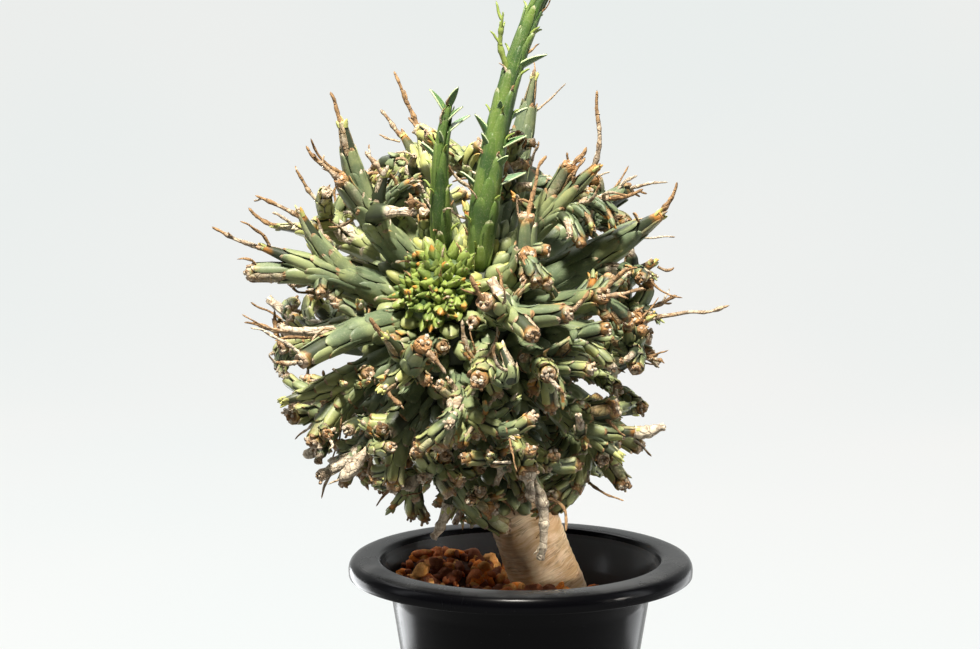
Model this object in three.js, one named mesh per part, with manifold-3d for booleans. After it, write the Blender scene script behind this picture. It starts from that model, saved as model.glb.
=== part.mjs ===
// A potted many-branched spurge: a round head of tubercled stems on a short pale trunk,
// standing in coarse red gravel in a black plastic nursery pot.
// Millimetres, +Z up, origin at the centre of the pot's base, front of the plant towards -Y.
import * as THREE from "three";
import { mergeVertices } from "three/addons/utils/BufferGeometryUtils.js";
import Module from "manifold-3d";

const wasm = await Module();
wasm.setup();

const UPWARD = new THREE.Vector3(0, 0, 1);

// Pot
const POT_HEIGHT = 132;
const LIP_DIAMETER = 150;
const MOUTH_DIAMETER = 122;
const BODY_TOP_DIAMETER = 112.4;
const BODY_TOP_HEIGHT = 114;
const BASE_DIAMETER = 76;
const WALL = 1.6;
const BASE_THICKNESS = 2.4;
const SKIRT_DROP = 7.5;
const FLARE_END = 4.2;
const POT_SIDES = 28;
const DRAIN_HOLES = 6;
const DRAIN_DIAMETER = 9;
const DRAIN_CIRCLE_RADIUS = 24;

// Gravel
const GRAVEL_HEIGHT = 113;
const MOUND_HEIGHT = 11;
const MOUND_CENTRE = [-36, 22];
const MOUND_SPREAD = 30;
const HOLLOW_DEPTH = 6;
const HOLLOW_CENTRE = [40, 26];
const WALL_CLEARANCE = 0.35;
const GRANULES = 28;
const GRANULE_RADII = [2.2, 4.6];
const HOLE_LENGTH = 44;
const HOLE_FLARE = 3;

// Trunk and the woody head that the stems grow from
const HEAD_CENTRE = [-24, -5, 234];
const CORE_RADIUS = 42;
const HEAD_RELIEF = 0.95;
const TRUNK_COURSE = [[14, 0, 92], [14, 0, 113], [5, -1, 138], [-10, -3, 182], [-24, -5, 234]];
const TRUNK_RADII = [16.4, 16.6, 15.6, 15, 14.6, 14.4, 14.4, 14.6, 15, 15];
const TRUNK_SIDES = 12;
const TRUNK_DIRECTION = [0.33, 0.02, -0.94];
const SEAT_GAP = 0.35;
const ROOT_DEPTH = 3.5;

// Growing point and the two tall shoots
const APEX_DIRECTION = [-0.27, -0.82, 0.5];
const APEX_RADIUS = 12;
const APEX_LEAVES = 28;
const APEX_LEAF_LENGTH = 6.5;
const APEX_LEAF_RADIUS = 3.2;
const APEX_LEAF_SUNK = 3;
const APEX_COVER = 0.8;
const GOLDEN_ANGLE = Math.PI * (3 - Math.sqrt(5));
const TALL_SHOOT_COURSE = [
  [5.7, -24.6, 27],
  [9, -31, 57],
  [14, -31, 86],
  [20, -28, 109],
  [27, -25, 129],
  [37, -22, 150],
];
const TALL_SHOOT_RADII = [5.2, 6.6, 5.4, 4.4, 3.8, 3];
const SHORT_SHOOT_COURSE = [[-9.6, -14.8, 32.4], [-10, -23, 54], [-10, -27, 70], [-8, -27, 86], [-6, -26, 96]];
const SHORT_SHOOT_RADII = [4.4, 4.8, 3.8, 3, 2.2];

// Leaves of the shoots: place along the shoot, turn about it, lean, length
const TALL_SHOOT_LEAVES = [
  [0.42, 3.3, 0.5, 11],
  [0.47, 0.6, 0.6, 13],
  [0.66, -0.4, 0.7, 12],
  [0.95, 0.2, 0.5, 9],
  [0.96, 2.3, 0.5, 9],
  [0.97, -1.9, 0.5, 8],
];
const SHORT_SHOOT_LEAVES = [
  [0.62, 2.9, 0.6, 9],
  [0.8, 0.3, 0.6, 11],
  [0.93, 3.2, 0.6, 10],
  [0.97, -1.2, 0.4, 9],
];
const LEAF_THICKNESS = 0.8;
const LEAF_BOW = 0.25;
const LEAF_ROOM = 2.8;

// The smallest edge that is kept after joining
const SLIVER = 0.05;

// Stems
const STEM_SIDES = 6;
const FORK_SIDES = 5;
const RING_SPACING = 13;
const SHOOT_RING_SPACING = 10;
const RIDGE = 1.15;
const FURROW = 0.86;
const STEM_CLEARANCE = 0.8;
const HEADS_WANTED = 134;
const HEAD_SPACING = 15;
const STALK_RADIUS = 1.05;
const STALK_SHARE = 0.32;
const STEM_RADIUS = 7;
const FULL_REACH = 84;
const FORK_RADIUS = 5;
const FIRST_FORK = 0.14;
const FORK_STEP = 0.19;
const STEMS = 53;
const HEADS_PER_STEM = 4;
const SHOVE = 0.005;
const FIXED_SHOVE = 0.016;
const STEM_SWELL = 1.8;
const FORK_SWELL = 1.2;
const SCATTER_TRIES = 6000;
const APEX_OPEN = 27;
const TRUNK_OPEN = 25;
const ROOT_ROOM = 23;
const APEX_ROOM = 36;
const SHOOT_ROOM = 21;
const TRUNK_ROOM = 36;
const TRUNK_KEEP_OUT = 16;
const SPREAD_ROUNDS = 240;
const ARC_TRIES = 36;
const LEAST_GAP = 0.25;
const SEED = 1012;

// Heads placed as seen from the front: across, up, distance from the middle of the head
// (negative on the far side), kind of end, radius, and the dry stalk's run across and up.
const SEEN_HEADS = [
  [-50, 88, 106, "fresh", 4.6, -4, 10],
  [-51, 66, 92, "stub", 4.2, -12, 10],
  [-68, 51, 90, "rusty", 4.2, -16, 3],
  [-83, 40, -96, "fresh", 3.8, -9, 8],
  [-84, 37, 98, "rusty", 4.4, -16, 7],
  [-90, 26, 99, "stub", 4.4, 0, 0],
  [-87, 8, -92, "dead", 3.4, 0, 0],
  [-75, 4, 88, "dead", 3.6, -9, 3],
  [-66, -7, 90, "stub", 5, -9, 1],
  [-74, -25, 92, "fresh", 4.2, 0, 0],
  [-80, -42, -94, "dead", 3.4, 0, 0],
  [-62, -43, 90, "stub", 4.4, 0, 0],
  [-60, -57, 94, "dead", 4.6, 0, 0],
  [-54, -73, -92, "stub", 3.8, 0, 0],
  [-45, -49, 90, "dead", 3.8, -4, -6],
  [-29, -62, 84, "stub", 4.2, 0, 0],
  [-17, -54, 86, "dead", 4, 0, 0],
  [-7, -72, 84, "fresh", 4.4, -6, -9],
  [12, -72, 86, "stub", 4, 0, 0],
  [27, -54, 84, "stub", 5, 0, -10],
  [33, -66, 88, "dead", 3.8, -5, -22],
  [18, -82, 90, "stub", 4, 0, 0],
  [46, -66, 87, "stub", 4.2, 0, 0],
  [44, -74, -90, "stub", 4.2, 0, 0],
  [63, -28, 84, "stub", 5, 0, 0],
  [75, -41, -88, "fresh", 3.8, 0, 0],
  [73, -38, 94, "rusty", 4.2, 8, 2],
  [77, -56, -96, "stub", 4, 0, 0],
  [67, -63, 99, "stub", 4.4, 0, 0],
  [64, -48, 94, "fresh", 4.2, 0, 0],
  [71, -4, 80, "fresh", 4.2, 9, -6],
  [81, -8, -84, "stub", 4.6, 0, 0],
  [78, 8, 84, "rusty", 4.4, 26, 0],
  [77, 25, 86, "dead", 3.6, 0, 0],
  [82, 50, 100, "rusty", 4.6, 4, 12],
  [72, 57, -96, "stub", 4.2, 0, 0],
  [60, 57, 88, "dead", 3.8, 11, 3],
  [55, 70, 94, "rusty", 4.6, -6, 27],
  [44, 71, 88, "stub", 4.6, 6, 5],
  [30, 106, -114, "fresh", 4.2, 0, 0],
  [-20, 82, -90, "fresh", 3.6, -10, 21],
  [-28, 80, -92, "rusty", 3.8, -8, 9],
  [-32, 68, 82, "fresh", 3.8, -10, 6],
  [-20, 52, 70, "dead", 3.4, -4, 8],
  [8, 20, 84, "stub", 4.6, -4, 10],
  [-15, 4, 86, "stub", 4.6, 7, -14],
  [6, -11, 86, "stub", 5, 0, 0],
  [21, -35, 84, "rusty", 4.4, 0, 0],
  [-6, -30, 84, "dead", 4.2, 0, 0],
  [43, 14, 84, "stub", 4.4, 5, 9],
  [28, 6, 86, "stub", 4.4, 0, 0],
  [57, 20, 84, "stub", 4.4, 14, 2],
  [34, -10, 84, "stub", 4.2, 6, -7],
  [37, -52, 81, "stub", 4.4, 0, 0],
  [51, -62, 86, "dead", 3.8, 0, 0],
  [50, -42, 84, "rusty", 4.2, 0, 0],
  [11, -46, 78, "stub", 4.2, 0, 0],
  [-32, -16, 84, "fresh", 4, 9, -5],
  [-31, 6, 84, "fresh", 3.8, -5, 6],
];

/** A repeatable draw between 0 and 1. */
function seededDraw(seed) {
  let state = seed;
  return () => {
    state = (state * 48271) % 2147483647;
    return state / 2147483647;
  };
}

const plus = (a, b) => [a[0] + b[0], a[1] + b[1], a[2] + b[2]];
const minus = (a, b) => [a[0] - b[0], a[1] - b[1], a[2] - b[2]];
const times = (a, k) => [a[0] * k, a[1] * k, a[2] * k];
const dot = (a, b) => a[0] * b[0] + a[1] * b[1] + a[2] * b[2];
const size = (a) => Math.sqrt(dot(a, a));
const unit = (a) => times(a, 1 / size(a));
const blend = (a, b, t) => plus(times(a, 1 - t), times(b, t));

/** A point as a three.js vector. */
function at(point) {
  return new THREE.Vector3(point[0], point[1], point[2]);
}

/** A copy of a geometry that holds only its points. */
function bareOf(geometry) {
  const bare = geometry.clone();
  bare.deleteAttribute("normal");
  bare.deleteAttribute("uv");
  return bare;
}

/** A closed geometry as a solid that can be joined and cut. */
function toSolid(geometry, tolerance = 1e-4) {
  const merged = mergeVertices(bareOf(geometry), tolerance);
  const vertProperties = new Float32Array(merged.attributes.position.array);
  const triVerts = new Uint32Array(merged.index.array);
  return new wasm.Manifold(new wasm.Mesh({ numProp: 3, vertProperties, triVerts }));
}

/** The triangles of the largest connected shell, so that a pocket sealed by joining is filled. */
function largestShell(triangles, pointCount) {
  const parent = Array.from({ length: pointCount }, (unused, index) => index);
  const rootOf = (index) => {
    let root = index;
    while (parent[root] !== root) {
      parent[root] = parent[parent[root]];
      root = parent[root];
    }
    return root;
  };
  for (let i = 0; i < triangles.length; i += 3) {
    parent[rootOf(triangles[i + 1])] = rootOf(triangles[i]);
    parent[rootOf(triangles[i + 2])] = rootOf(triangles[i]);
  }
  const counts = new Map();
  for (let i = 0; i < triangles.length; i += 3) {
    const root = rootOf(triangles[i]);
    counts.set(root, (counts.get(root) ?? 0) + 1);
  }
  const [largest] = [...counts.entries()].reduce((a, b) => (b[1] > a[1] ? b : a));
  const kept = (unused, place) => rootOf(triangles[place - (place % 3)]) === largest;
  return Array.from(triangles).filter(kept);
}

/** The outer shell of a solid as a geometry. */
function shellOf(solid) {
  const mesh = solid.getMesh();
  const geometry = new THREE.BufferGeometry();
  const points = [];
  for (let i = 0; i < mesh.numVert; i += 1) {
    const start = i * mesh.numProp;
    points.push(...mesh.vertProperties.slice(start, start + 3));
  }
  geometry.setAttribute("position", new THREE.BufferAttribute(new Float32Array(points), 3));
  geometry.setIndex(largestShell(mesh.triVerts, mesh.numVert));
  return geometry;
}

/** A solid as a geometry with flat faces, its hair-thin slivers closed up. */
function toGeometry(solid) {
  const geometry = shellOf(toSolid(shellOf(solid), SLIVER));
  geometry.computeVertexNormals();
  return geometry;
}

/** Several closed geometries joined into one. */
function join(geometries) {
  return geometries.map((geometry) => toSolid(geometry)).reduce((whole, piece) => whole.add(piece));
}

/** A named mesh with its own material. */
function piece(name, geometry, color, roughness) {
  const material = new THREE.MeshStandardMaterial({ color, roughness, metalness: 0, flatShading: true });
  const mesh = new THREE.Mesh(geometry, material);
  mesh.name = name;
  return mesh;
}

/** The outer radius of the pot's tapered body at a height. */
function potRadius(height) {
  const slope = (BODY_TOP_DIAMETER - BASE_DIAMETER) / 2 / BODY_TOP_HEIGHT;
  return BASE_DIAMETER / 2 + slope * height;
}

/** The thin tapered pot with its flared, turned-down lip and its drain holes. */
function makePot() {
  const lip = LIP_DIAMETER / 2;
  const mouth = MOUTH_DIAMETER / 2;
  const profile = [
    [0, 0],
    [BASE_DIAMETER / 2 - 2, 0],
    [potRadius(2), 2],
    [potRadius(BODY_TOP_HEIGHT), BODY_TOP_HEIGHT],
    [mouth - 0.4, POT_HEIGHT - 4.6],
    [mouth + 1.2, POT_HEIGHT - WALL - 0.4],
    [lip - 3.6, POT_HEIGHT - WALL - 0.6],
    [lip - WALL - 0.6, POT_HEIGHT - 3.8],
    [lip - WALL, POT_HEIGHT - SKIRT_DROP],
    [lip, POT_HEIGHT - SKIRT_DROP],
    [lip - 0.2, POT_HEIGHT - 3],
    [lip - 1.4, POT_HEIGHT - 1],
    [lip - 3.4, POT_HEIGHT],
    [mouth + 1.4, POT_HEIGHT],
    [mouth, POT_HEIGHT - 0.7],
    [mouth - WALL, POT_HEIGHT - FLARE_END],
    [potRadius(BODY_TOP_HEIGHT) - WALL, BODY_TOP_HEIGHT],
    [potRadius(BASE_THICKNESS) - WALL, BASE_THICKNESS],
    [0, BASE_THICKNESS],
  ];
  const shell = new THREE.LatheGeometry(profile.map(([r, z]) => new THREE.Vector2(r, z)), POT_SIDES);
  shell.rotateX(Math.PI / 2);
  let pot = toSolid(shell);
  for (let i = 0; i < DRAIN_HOLES; i += 1) {
    const angle = (i / DRAIN_HOLES) * Math.PI * 2;
    const hole = new THREE.CylinderGeometry(DRAIN_DIAMETER / 2, DRAIN_DIAMETER / 2, 12, 10);
    hole.rotateX(Math.PI / 2);
    hole.translate(DRAIN_CIRCLE_RADIUS * Math.cos(angle), DRAIN_CIRCLE_RADIUS * Math.sin(angle), 0);
    pot = pot.subtract(toSolid(hole));
  }
  return toGeometry(pot);
}

/** The gravel's surface height: a mound at the back left, a hollow at the back right. */
function gravelHeight(x, y) {
  const mound = Math.hypot(x - MOUND_CENTRE[0], y - MOUND_CENTRE[1]) / MOUND_SPREAD;
  const hollow = Math.hypot(x - HOLLOW_CENTRE[0], y - HOLLOW_CENTRE[1]) / MOUND_SPREAD;
  const rise = MOUND_HEIGHT * Math.exp(-mound * mound);
  const fall = HOLLOW_DEPTH * Math.exp(-hollow * hollow);
  return GRAVEL_HEIGHT + rise - fall;
}

/** The gravel filling: one bed with granules standing out of its top, and a hole for the trunk. */
function makeGravel() {
  const draw = seededDraw(SEED);
  const [trunkX, trunkY, trunkZ] = TRUNK_COURSE[0];
  const bottom = BASE_THICKNESS + WALL_CLEARANCE;
  const edge = potRadius(GRAVEL_HEIGHT) - WALL - WALL_CLEARANCE;
  const foot = potRadius(bottom) - WALL - WALL_CLEARANCE;
  const rings = [edge, edge * 0.8, edge * 0.58, edge * 0.34, 0];
  const profile = [[0, bottom], [foot, bottom], ...rings.map((r) => [r, GRAVEL_HEIGHT])];
  const bed = new THREE.LatheGeometry(profile.map(([r, z]) => new THREE.Vector2(r, z)), 24);
  bed.rotateX(Math.PI / 2);
  const position = bed.attributes.position;
  for (let i = 0; i < position.count; i += 1) {
    const x = position.getX(i);
    const y = position.getY(i);
    if (position.getZ(i) > GRAVEL_HEIGHT - 1) {
      const radius = Math.hypot(x, y);
      const height = gravelHeight(x, y);
      const wall = potRadius(height) - WALL - WALL_CLEARANCE;
      const fit = radius > edge - 1 ? wall / radius : 1;
      position.setXYZ(i, x * fit, y * fit, height);
    }
  }
  let gravel = toSolid(bed);
  for (let i = 0; i < GRANULES; i += 1) {
    const grain = GRANULE_RADII[0] + (GRANULE_RADII[1] - GRANULE_RADII[0]) * draw();
    const radius = Math.sqrt((i + 0.5) / GRANULES) * (edge - grain * 1.3 - 1);
    const x = radius * Math.cos(i * GOLDEN_ANGLE);
    const y = radius * Math.sin(i * GOLDEN_ANGLE);
    const granule = new THREE.IcosahedronGeometry(grain, 0);
    granule.scale(1, 0.7 + 0.3 * draw(), 0.6 + 0.3 * draw());
    granule.rotateX(draw() * Math.PI);
    granule.rotateZ(draw() * Math.PI);
    granule.translate(x, y, gravelHeight(x, y) + grain * 0.1);
    const fromTrunk = Math.hypot(x - trunkX, y - trunkY);
    if (fromTrunk > TRUNK_RADII[1] + HOLE_FLARE + grain) {
      gravel = gravel.add(toSolid(granule));
    }
  }
  const holeRadius = TRUNK_RADII[1] + SEAT_GAP * 2;
  const hole = new THREE.CylinderGeometry(holeRadius + HOLE_FLARE, holeRadius, HOLE_LENGTH, 20);
  hole.rotateX(Math.PI / 2);
  hole.translate(trunkX, trunkY, trunkZ + HOLE_LENGTH / 2 - SEAT_GAP);
  return toGeometry(gravel.subtract(toSolid(hole)));
}

/** A closed stem along a curve, its rings shaped by radiusAt(ring, corner). */
function sweep(curve, sides, steps, radiusAt) {
  const outline = new THREE.Shape();
  for (let i = 0; i < sides; i += 1) {
    const angle = (i / sides) * Math.PI * 2;
    const method = i === 0 ? "moveTo" : "lineTo";
    outline[method](Math.cos(angle), Math.sin(angle));
  }
  const tube = new THREE.ExtrudeGeometry(outline, { steps, extrudePath: curve });
  const centres = curve.getSpacedPoints(steps);
  const frames = curve.computeFrenetFrames(steps, false);
  const position = tube.attributes.position;
  const point = new THREE.Vector3();
  for (let i = 0; i < position.count; i += 1) {
    point.fromBufferAttribute(position, i);
    let ring = 0;
    for (let k = 1; k <= steps; k += 1) {
      if (point.distanceTo(centres[k]) < point.distanceTo(centres[ring])) {
        ring = k;
      }
    }
    point.sub(centres[ring]);
    const angle = Math.atan2(point.dot(frames.binormals[ring]), point.dot(frames.normals[ring]));
    const corner = Math.round((angle / Math.PI / 2) * sides + sides) % sides;
    point.multiplyScalar(radiusAt(ring, corner)).add(centres[ring]);
    position.setXYZ(i, point.x, point.y, point.z);
  }
  return tube;
}

/** The angle between two directions in degrees. */
function angleBetween(a, b) {
  const cosine = dot(a, b) / size(a) / size(b);
  return (Math.acos(Math.max(-1, Math.min(1, cosine))) * 180) / Math.PI;
}

/** A point on the arc from start by way of a control point to end. */
function arcPoint(arc, t) {
  const [start, control, end] = arc;
  return blend(blend(start, control, t), blend(control, end, t), t);
}

/** The direction of the arc at t. */
function arcDirection(arc, t) {
  return unit(blend(minus(arc[1], arc[0]), minus(arc[2], arc[1]), t));
}

/** Balls along an arc, outside the woody head, that stand for its stem when stems are kept apart. */
function ballsAlong(arc, fromRadius, toRadius, spacing) {
  const length = size(minus(arc[1], arc[0])) + size(minus(arc[2], arc[1]));
  const count = Math.ceil(length / spacing);
  const balls = [];
  for (let i = 0; i <= count; i += 1) {
    const t = i / count;
    const centre = arcPoint(arc, t);
    if (size(centre) > CORE_RADIUS) {
      balls.push({ centre, radius: fromRadius + (toRadius - fromRadius) * t });
    }
  }
  return balls;
}

/** The place and direction on a course of straight runs at a share of its length. */
function placeOnCourse(course, share) {
  const runs = course.slice(1).map((point, i) => size(minus(point, course[i])));
  let left = share * runs.reduce((sum, run) => sum + run, 0);
  let index = 0;
  while (index < runs.length - 1 && left > runs[index]) {
    left -= runs[index];
    index += 1;
  }
  const heading = unit(minus(course[index + 1], course[index]));
  return { point: plus(course[index], times(heading, left)), heading };
}

/** The radius of a tapered stem at a share of its length. */
function radiusOnCourse(radii, share) {
  const place = share * (radii.length - 1);
  const index = Math.min(radii.length - 2, Math.floor(place));
  return radii[index] + (radii[index + 1] - radii[index]) * (place - index);
}

/** The least gap between some balls and those of every other stem. */
function gapTo(balls, placed, owner) {
  let least = Infinity;
  for (const other of placed) {
    if (other.owner !== owner) {
      for (const ball of balls) {
        const gap = size(minus(ball.centre, other.centre)) - ball.radius - other.radius;
        least = Math.min(least, gap);
      }
    }
  }
  return least;
}

/** How far a head stands out, from its angle to the growing point. */
function usualReach(angle) {
  if (angle < 38) {
    return 60;
  }
  if (angle < 55) {
    return 70;
  }
  return angle < 125 ? 83 : 78;
}

/** Every head of the crown: those seen from the front, then an even scatter between them. */
function placeHeads() {
  const heads = SEEN_HEADS.map(([x, z, reach, end, radius, runX, runZ]) => {
    const depth = Math.sqrt(Math.max(0, reach * reach - x * x - z * z));
    const tip = [x, reach > 0 ? -depth : depth, z];
    return { tip, end, radius, run: [runX, 0, runZ], seen: 1 };
  });
  const draw = seededDraw(SEED + 1);
  const ends = ["fresh", "stub", "rusty", "stub", "dead"];
  for (let i = 0; i < SCATTER_TRIES && heads.length < HEADS_WANTED; i += 1) {
    const turn = draw() * Math.PI * 2;
    const rise = draw() * 2 - 1;
    const level = Math.sqrt(1 - rise * rise);
    const direction = [level * Math.cos(turn), level * Math.sin(turn), rise];
    const fromApex = angleBetween(direction, APEX_DIRECTION);
    const shorter = 1 - 0.22 * Math.pow(draw(), 2);
    const tip = times(direction, usualReach(fromApex) * shorter + (draw() - 0.5) * 8);
    const end = ends[Math.floor(draw() * ends.length)];
    const radius = 3.8 + draw() * 0.9;
    const run = draw() < STALK_SHARE ? times([draw() - 0.5, draw() - 0.5, draw() - 0.2], 26) : [0, 0, 0];
    const clear = heads.every((head) => size(minus(head.tip, tip)) > HEAD_SPACING);
    const fromTrunk = angleBetween(direction, TRUNK_DIRECTION);
    const open = fromApex > APEX_OPEN && fromTrunk > TRUNK_OPEN;
    if (clear && open) {
      heads.push({ tip, end, radius, run, seen: 0 });
    }
  }
  return heads;
}

/** Root directions spread evenly over the woody head, clear of its other growths. */
function spreadRoots() {
  const fixed = [
    { direction: unit(APEX_DIRECTION), room: APEX_ROOM },
    { direction: unit(TALL_SHOOT_COURSE[0]), room: SHOOT_ROOM },
    { direction: unit(SHORT_SHOOT_COURSE[0]), room: SHOOT_ROOM },
    { direction: unit(TRUNK_DIRECTION), room: TRUNK_ROOM },
  ];
  const roots = [];
  for (let i = 0; i < STEMS; i += 1) {
    const rise = 1 - (2 * (i + 0.5)) / STEMS;
    const level = Math.sqrt(1 - rise * rise);
    roots.push([level * Math.cos(i * GOLDEN_ANGLE), level * Math.sin(i * GOLDEN_ANGLE), rise]);
  }
  for (let round = 0; round < SPREAD_ROUNDS; round += 1) {
    roots.forEach((root, index) => {
      let push = [0, 0, 0];
      const shove = (direction, room, strength) => {
        const lack = room - angleBetween(root, direction);
        if (lack > 0) {
          push = plus(push, times(unit(minus(root, direction)), lack * strength));
        }
      };
      roots.forEach((other, k) => k !== index && shove(other, ROOT_ROOM, SHOVE));
      fixed.forEach((keep) => shove(keep.direction, keep.room, FIXED_SHOVE));
      roots[index] = unit(plus(root, push));
    });
  }
  return roots;
}

/** Heads gathered into stems: each head joins the nearest root that still has room. */
function gatherStems(heads) {
  const stems = spreadRoots().map((root) => ({ root, members: [] }));
  heads.forEach((head) => {
    const open = stems.filter((stem) => stem.members.length < HEADS_PER_STEM);
    const away = (stem) => angleBetween(stem.root, head.tip);
    const nearest = open.reduce((a, b) => (away(b) < away(a) ? b : a));
    nearest.members.push(head);
  });
  stems.forEach((stem) => {
    const rank = (head) => angleBetween(stem.root, head.tip) - 30 * head.seen;
    stem.members.sort((a, b) => rank(a) - rank(b));
  });
  return stems.filter((stem) => stem.members.length > 0);
}

/** The best of several bowed arcs between two places, by its gap to the other stems. */
function clearArc(start, heading, tip, radii, placed, owner, draw) {
  const length = size(minus(tip, start));
  let best = { gap: -Infinity };
  for (let k = 0; k < ARC_TRIES && best.gap < STEM_CLEARANCE; k += 1) {
    const sway = times([draw() - 0.5, draw() - 0.5, draw() - 0.5], 1.3 * k);
    const shift = times([draw() - 0.5, draw() - 0.5, draw() - 0.5], 0.5 * k);
    const control = plus(plus(start, times(heading, length * 0.45)), plus(sway, [0, 0, -2]));
    const arc = [start, control, plus(tip, shift)];
    const balls = ballsAlong(arc, radii[0] * 1.05, radii[1] * RIDGE, 3);
    const gap = gapTo(balls, placed, owner);
    if (gap > best.gap) {
      best = { arc, balls, gap };
    }
  }
  return best;
}

/** A leading stem's radius at its root: long stems are stouter. */
function rootRadius(reach) {
  return STEM_RADIUS * (0.6 + (0.4 * (reach - CORE_RADIUS)) / (FULL_REACH - CORE_RADIUS));
}

/** Thickens an arm into the free space around it. */
function swell(arm, placed, owner) {
  const spare = gapTo(arm.balls, placed, owner) - STEM_CLEARANCE;
  const growth = Math.max(0, Math.min(arm.swell, spare * 0.5));
  arm.radii = arm.radii.map((radius) => radius + growth / RIDGE);
  arm.balls.forEach((ball) => {
    ball.radius += growth;
  });
}

/** The whole crown laid out: each stem's arcs with their radii, ends and dry stalks. */
function layOutCrown(placed) {
  const stems = gatherStems(placeHeads());
  const draw = seededDraw(SEED + 2);
  const keep = (balls, owner) => balls.forEach((ball) => placed.push(Object.assign(ball, { owner })));
  stems.forEach((stem, owner) => {
    const head = stem.members[0];
    const radii = [rootRadius(size(head.tip)), head.radius];
    const start = times(stem.root, CORE_RADIUS - ROOT_DEPTH);
    const found = clearArc(start, stem.root, head.tip, radii, placed, owner, draw);
    stem.arms = [];
    if (found.gap > LEAST_GAP) {
      stem.arms.push({ ...head, ...found, radii, swell: STEM_SWELL });
      keep(found.balls, owner);
    }
  });
  const forksOf = (stem, owner) => stem.members.slice(1).map((head, index) => ({ head, index, owner }));
  const forks = stems.flatMap(forksOf);
  forks.sort((a, b) => b.head.seen - a.head.seen);
  forks.forEach(({ head, index, owner }) => {
    const { arms } = stems[owner];
    if (arms.length > 0) {
      const leader = arms[0].arc;
      const place = FIRST_FORK + FORK_STEP * index;
      const radii = [FORK_RADIUS, head.radius];
      const start = arcPoint(leader, place);
      const found = clearArc(start, arcDirection(leader, place), head.tip, radii, placed, owner, draw);
      if (found.gap > LEAST_GAP) {
        arms.push({ ...head, ...found, radii, swell: FORK_SWELL });
        keep(found.balls, owner);
      }
    }
  });
  stems.forEach((stem, owner) => stem.arms.forEach((arm) => swell(arm, placed, owner)));
  stems.forEach((stem, owner) => {
    stem.stalks = [];
    stem.arms.filter((arm) => size(arm.run) > 3).forEach((arm) => {
      const tip = arm.arc[2];
      const heading = arcDirection(arm.arc, 1);
      const run = plus(arm.run, times(heading, 0.25 * size(arm.run)));
      const start = minus(tip, times(heading, arm.radii[1] * 0.6));
      const radii = [STALK_RADIUS, STALK_RADIUS];
      const lean = unit(plus(heading, unit(run)));
      const found = clearArc(start, lean, plus(tip, run), radii, placed, owner, draw);
      if (found.gap > LEAST_GAP) {
        stem.stalks.push(found.arc);
        keep(found.balls, owner);
      }
    });
  });
  return stems.filter((stem) => stem.arms.length > 0);
}

/** How wide the last rings of a stem are, by the kind of its end. */
function endWidth(end, ringsLeft) {
  const widths = {
    fresh: [0.28, 0.82],
    rusty: [0.5, 0.9],
    stub: [0.78, 1.04],
    dead: [0.55, 0.7, 0.78],
  };
  return widths[end][ringsLeft] ?? 1;
}

/** A stem arm: a closed tube with its rings staggered into tubercles. */
function makeArm(arm, sides) {
  const curve = new THREE.QuadraticBezierCurve3(...arm.arc.map(at));
  const steps = Math.max(3, Math.round(curve.getLength() / RING_SPACING));
  return sweep(curve, sides, steps, (ring, corner) => {
    const along = ring / steps;
    const width = arm.radii[0] + (arm.radii[1] - arm.radii[0]) * along;
    const plain = ring === 0 || ring === steps;
    const relief = (ring + corner) % 2 === 0 ? RIDGE : FURROW;
    return width * endWidth(arm.end, steps - ring) * (plain ? 1 : relief);
  });
}

/** A thin dry flower stalk left on a stem's end. */
function makeStalk(arc) {
  const curve = new THREE.QuadraticBezierCurve3(...arc.map(at));
  return sweep(curve, 3, 2, (ring) => STALK_RADIUS * (ring === 2 ? 0.7 : 1));
}

/** One branched stem with its heads and dry stalks, as a single solid. */
function makeStem(stem) {
  const arms = stem.arms.map((arm, index) => makeArm(arm, index === 0 ? STEM_SIDES : FORK_SIDES));
  return seatOnHead(join([...arms, ...stem.stalks.map(makeStalk)]));
}

/** The pale trunk and the woody head at its top, from which all stems grow. */
function makeTrunk() {
  const curve = new THREE.CatmullRomCurve3(TRUNK_COURSE.map(at));
  const steps = TRUNK_RADII.length - 1;
  const stem = sweep(curve, TRUNK_SIDES, steps, (ring, corner) => {
    const wrinkle = ring === 0 ? 1 : 1 + 0.02 * Math.sin(ring * 2.1 + corner * 1.7);
    return TRUNK_RADII[ring] * wrinkle * 0.98;
  });
  return join([stem, makeHead(CORE_RADIUS).translate(...HEAD_CENTRE)]);
}

/** The knobbly woody head about its own middle. */
function makeHead(radius) {
  const head = mergeVertices(bareOf(new THREE.IcosahedronGeometry(radius, 3)), 0.01);
  const position = head.attributes.position;
  for (let i = 0; i < position.count; i += 1) {
    const sunk = i % 3 === 0 ? 1 : HEAD_RELIEF;
    position.setXYZ(i, position.getX(i) * sunk, position.getY(i) * sunk, position.getZ(i) * sunk);
  }
  return head;
}

/** A piece of the plant cut to sit on the woody head with the seat gap. */
function seatOnHead(solid) {
  return solid.subtract(toSolid(makeHead(CORE_RADIUS + SEAT_GAP)));
}

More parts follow.
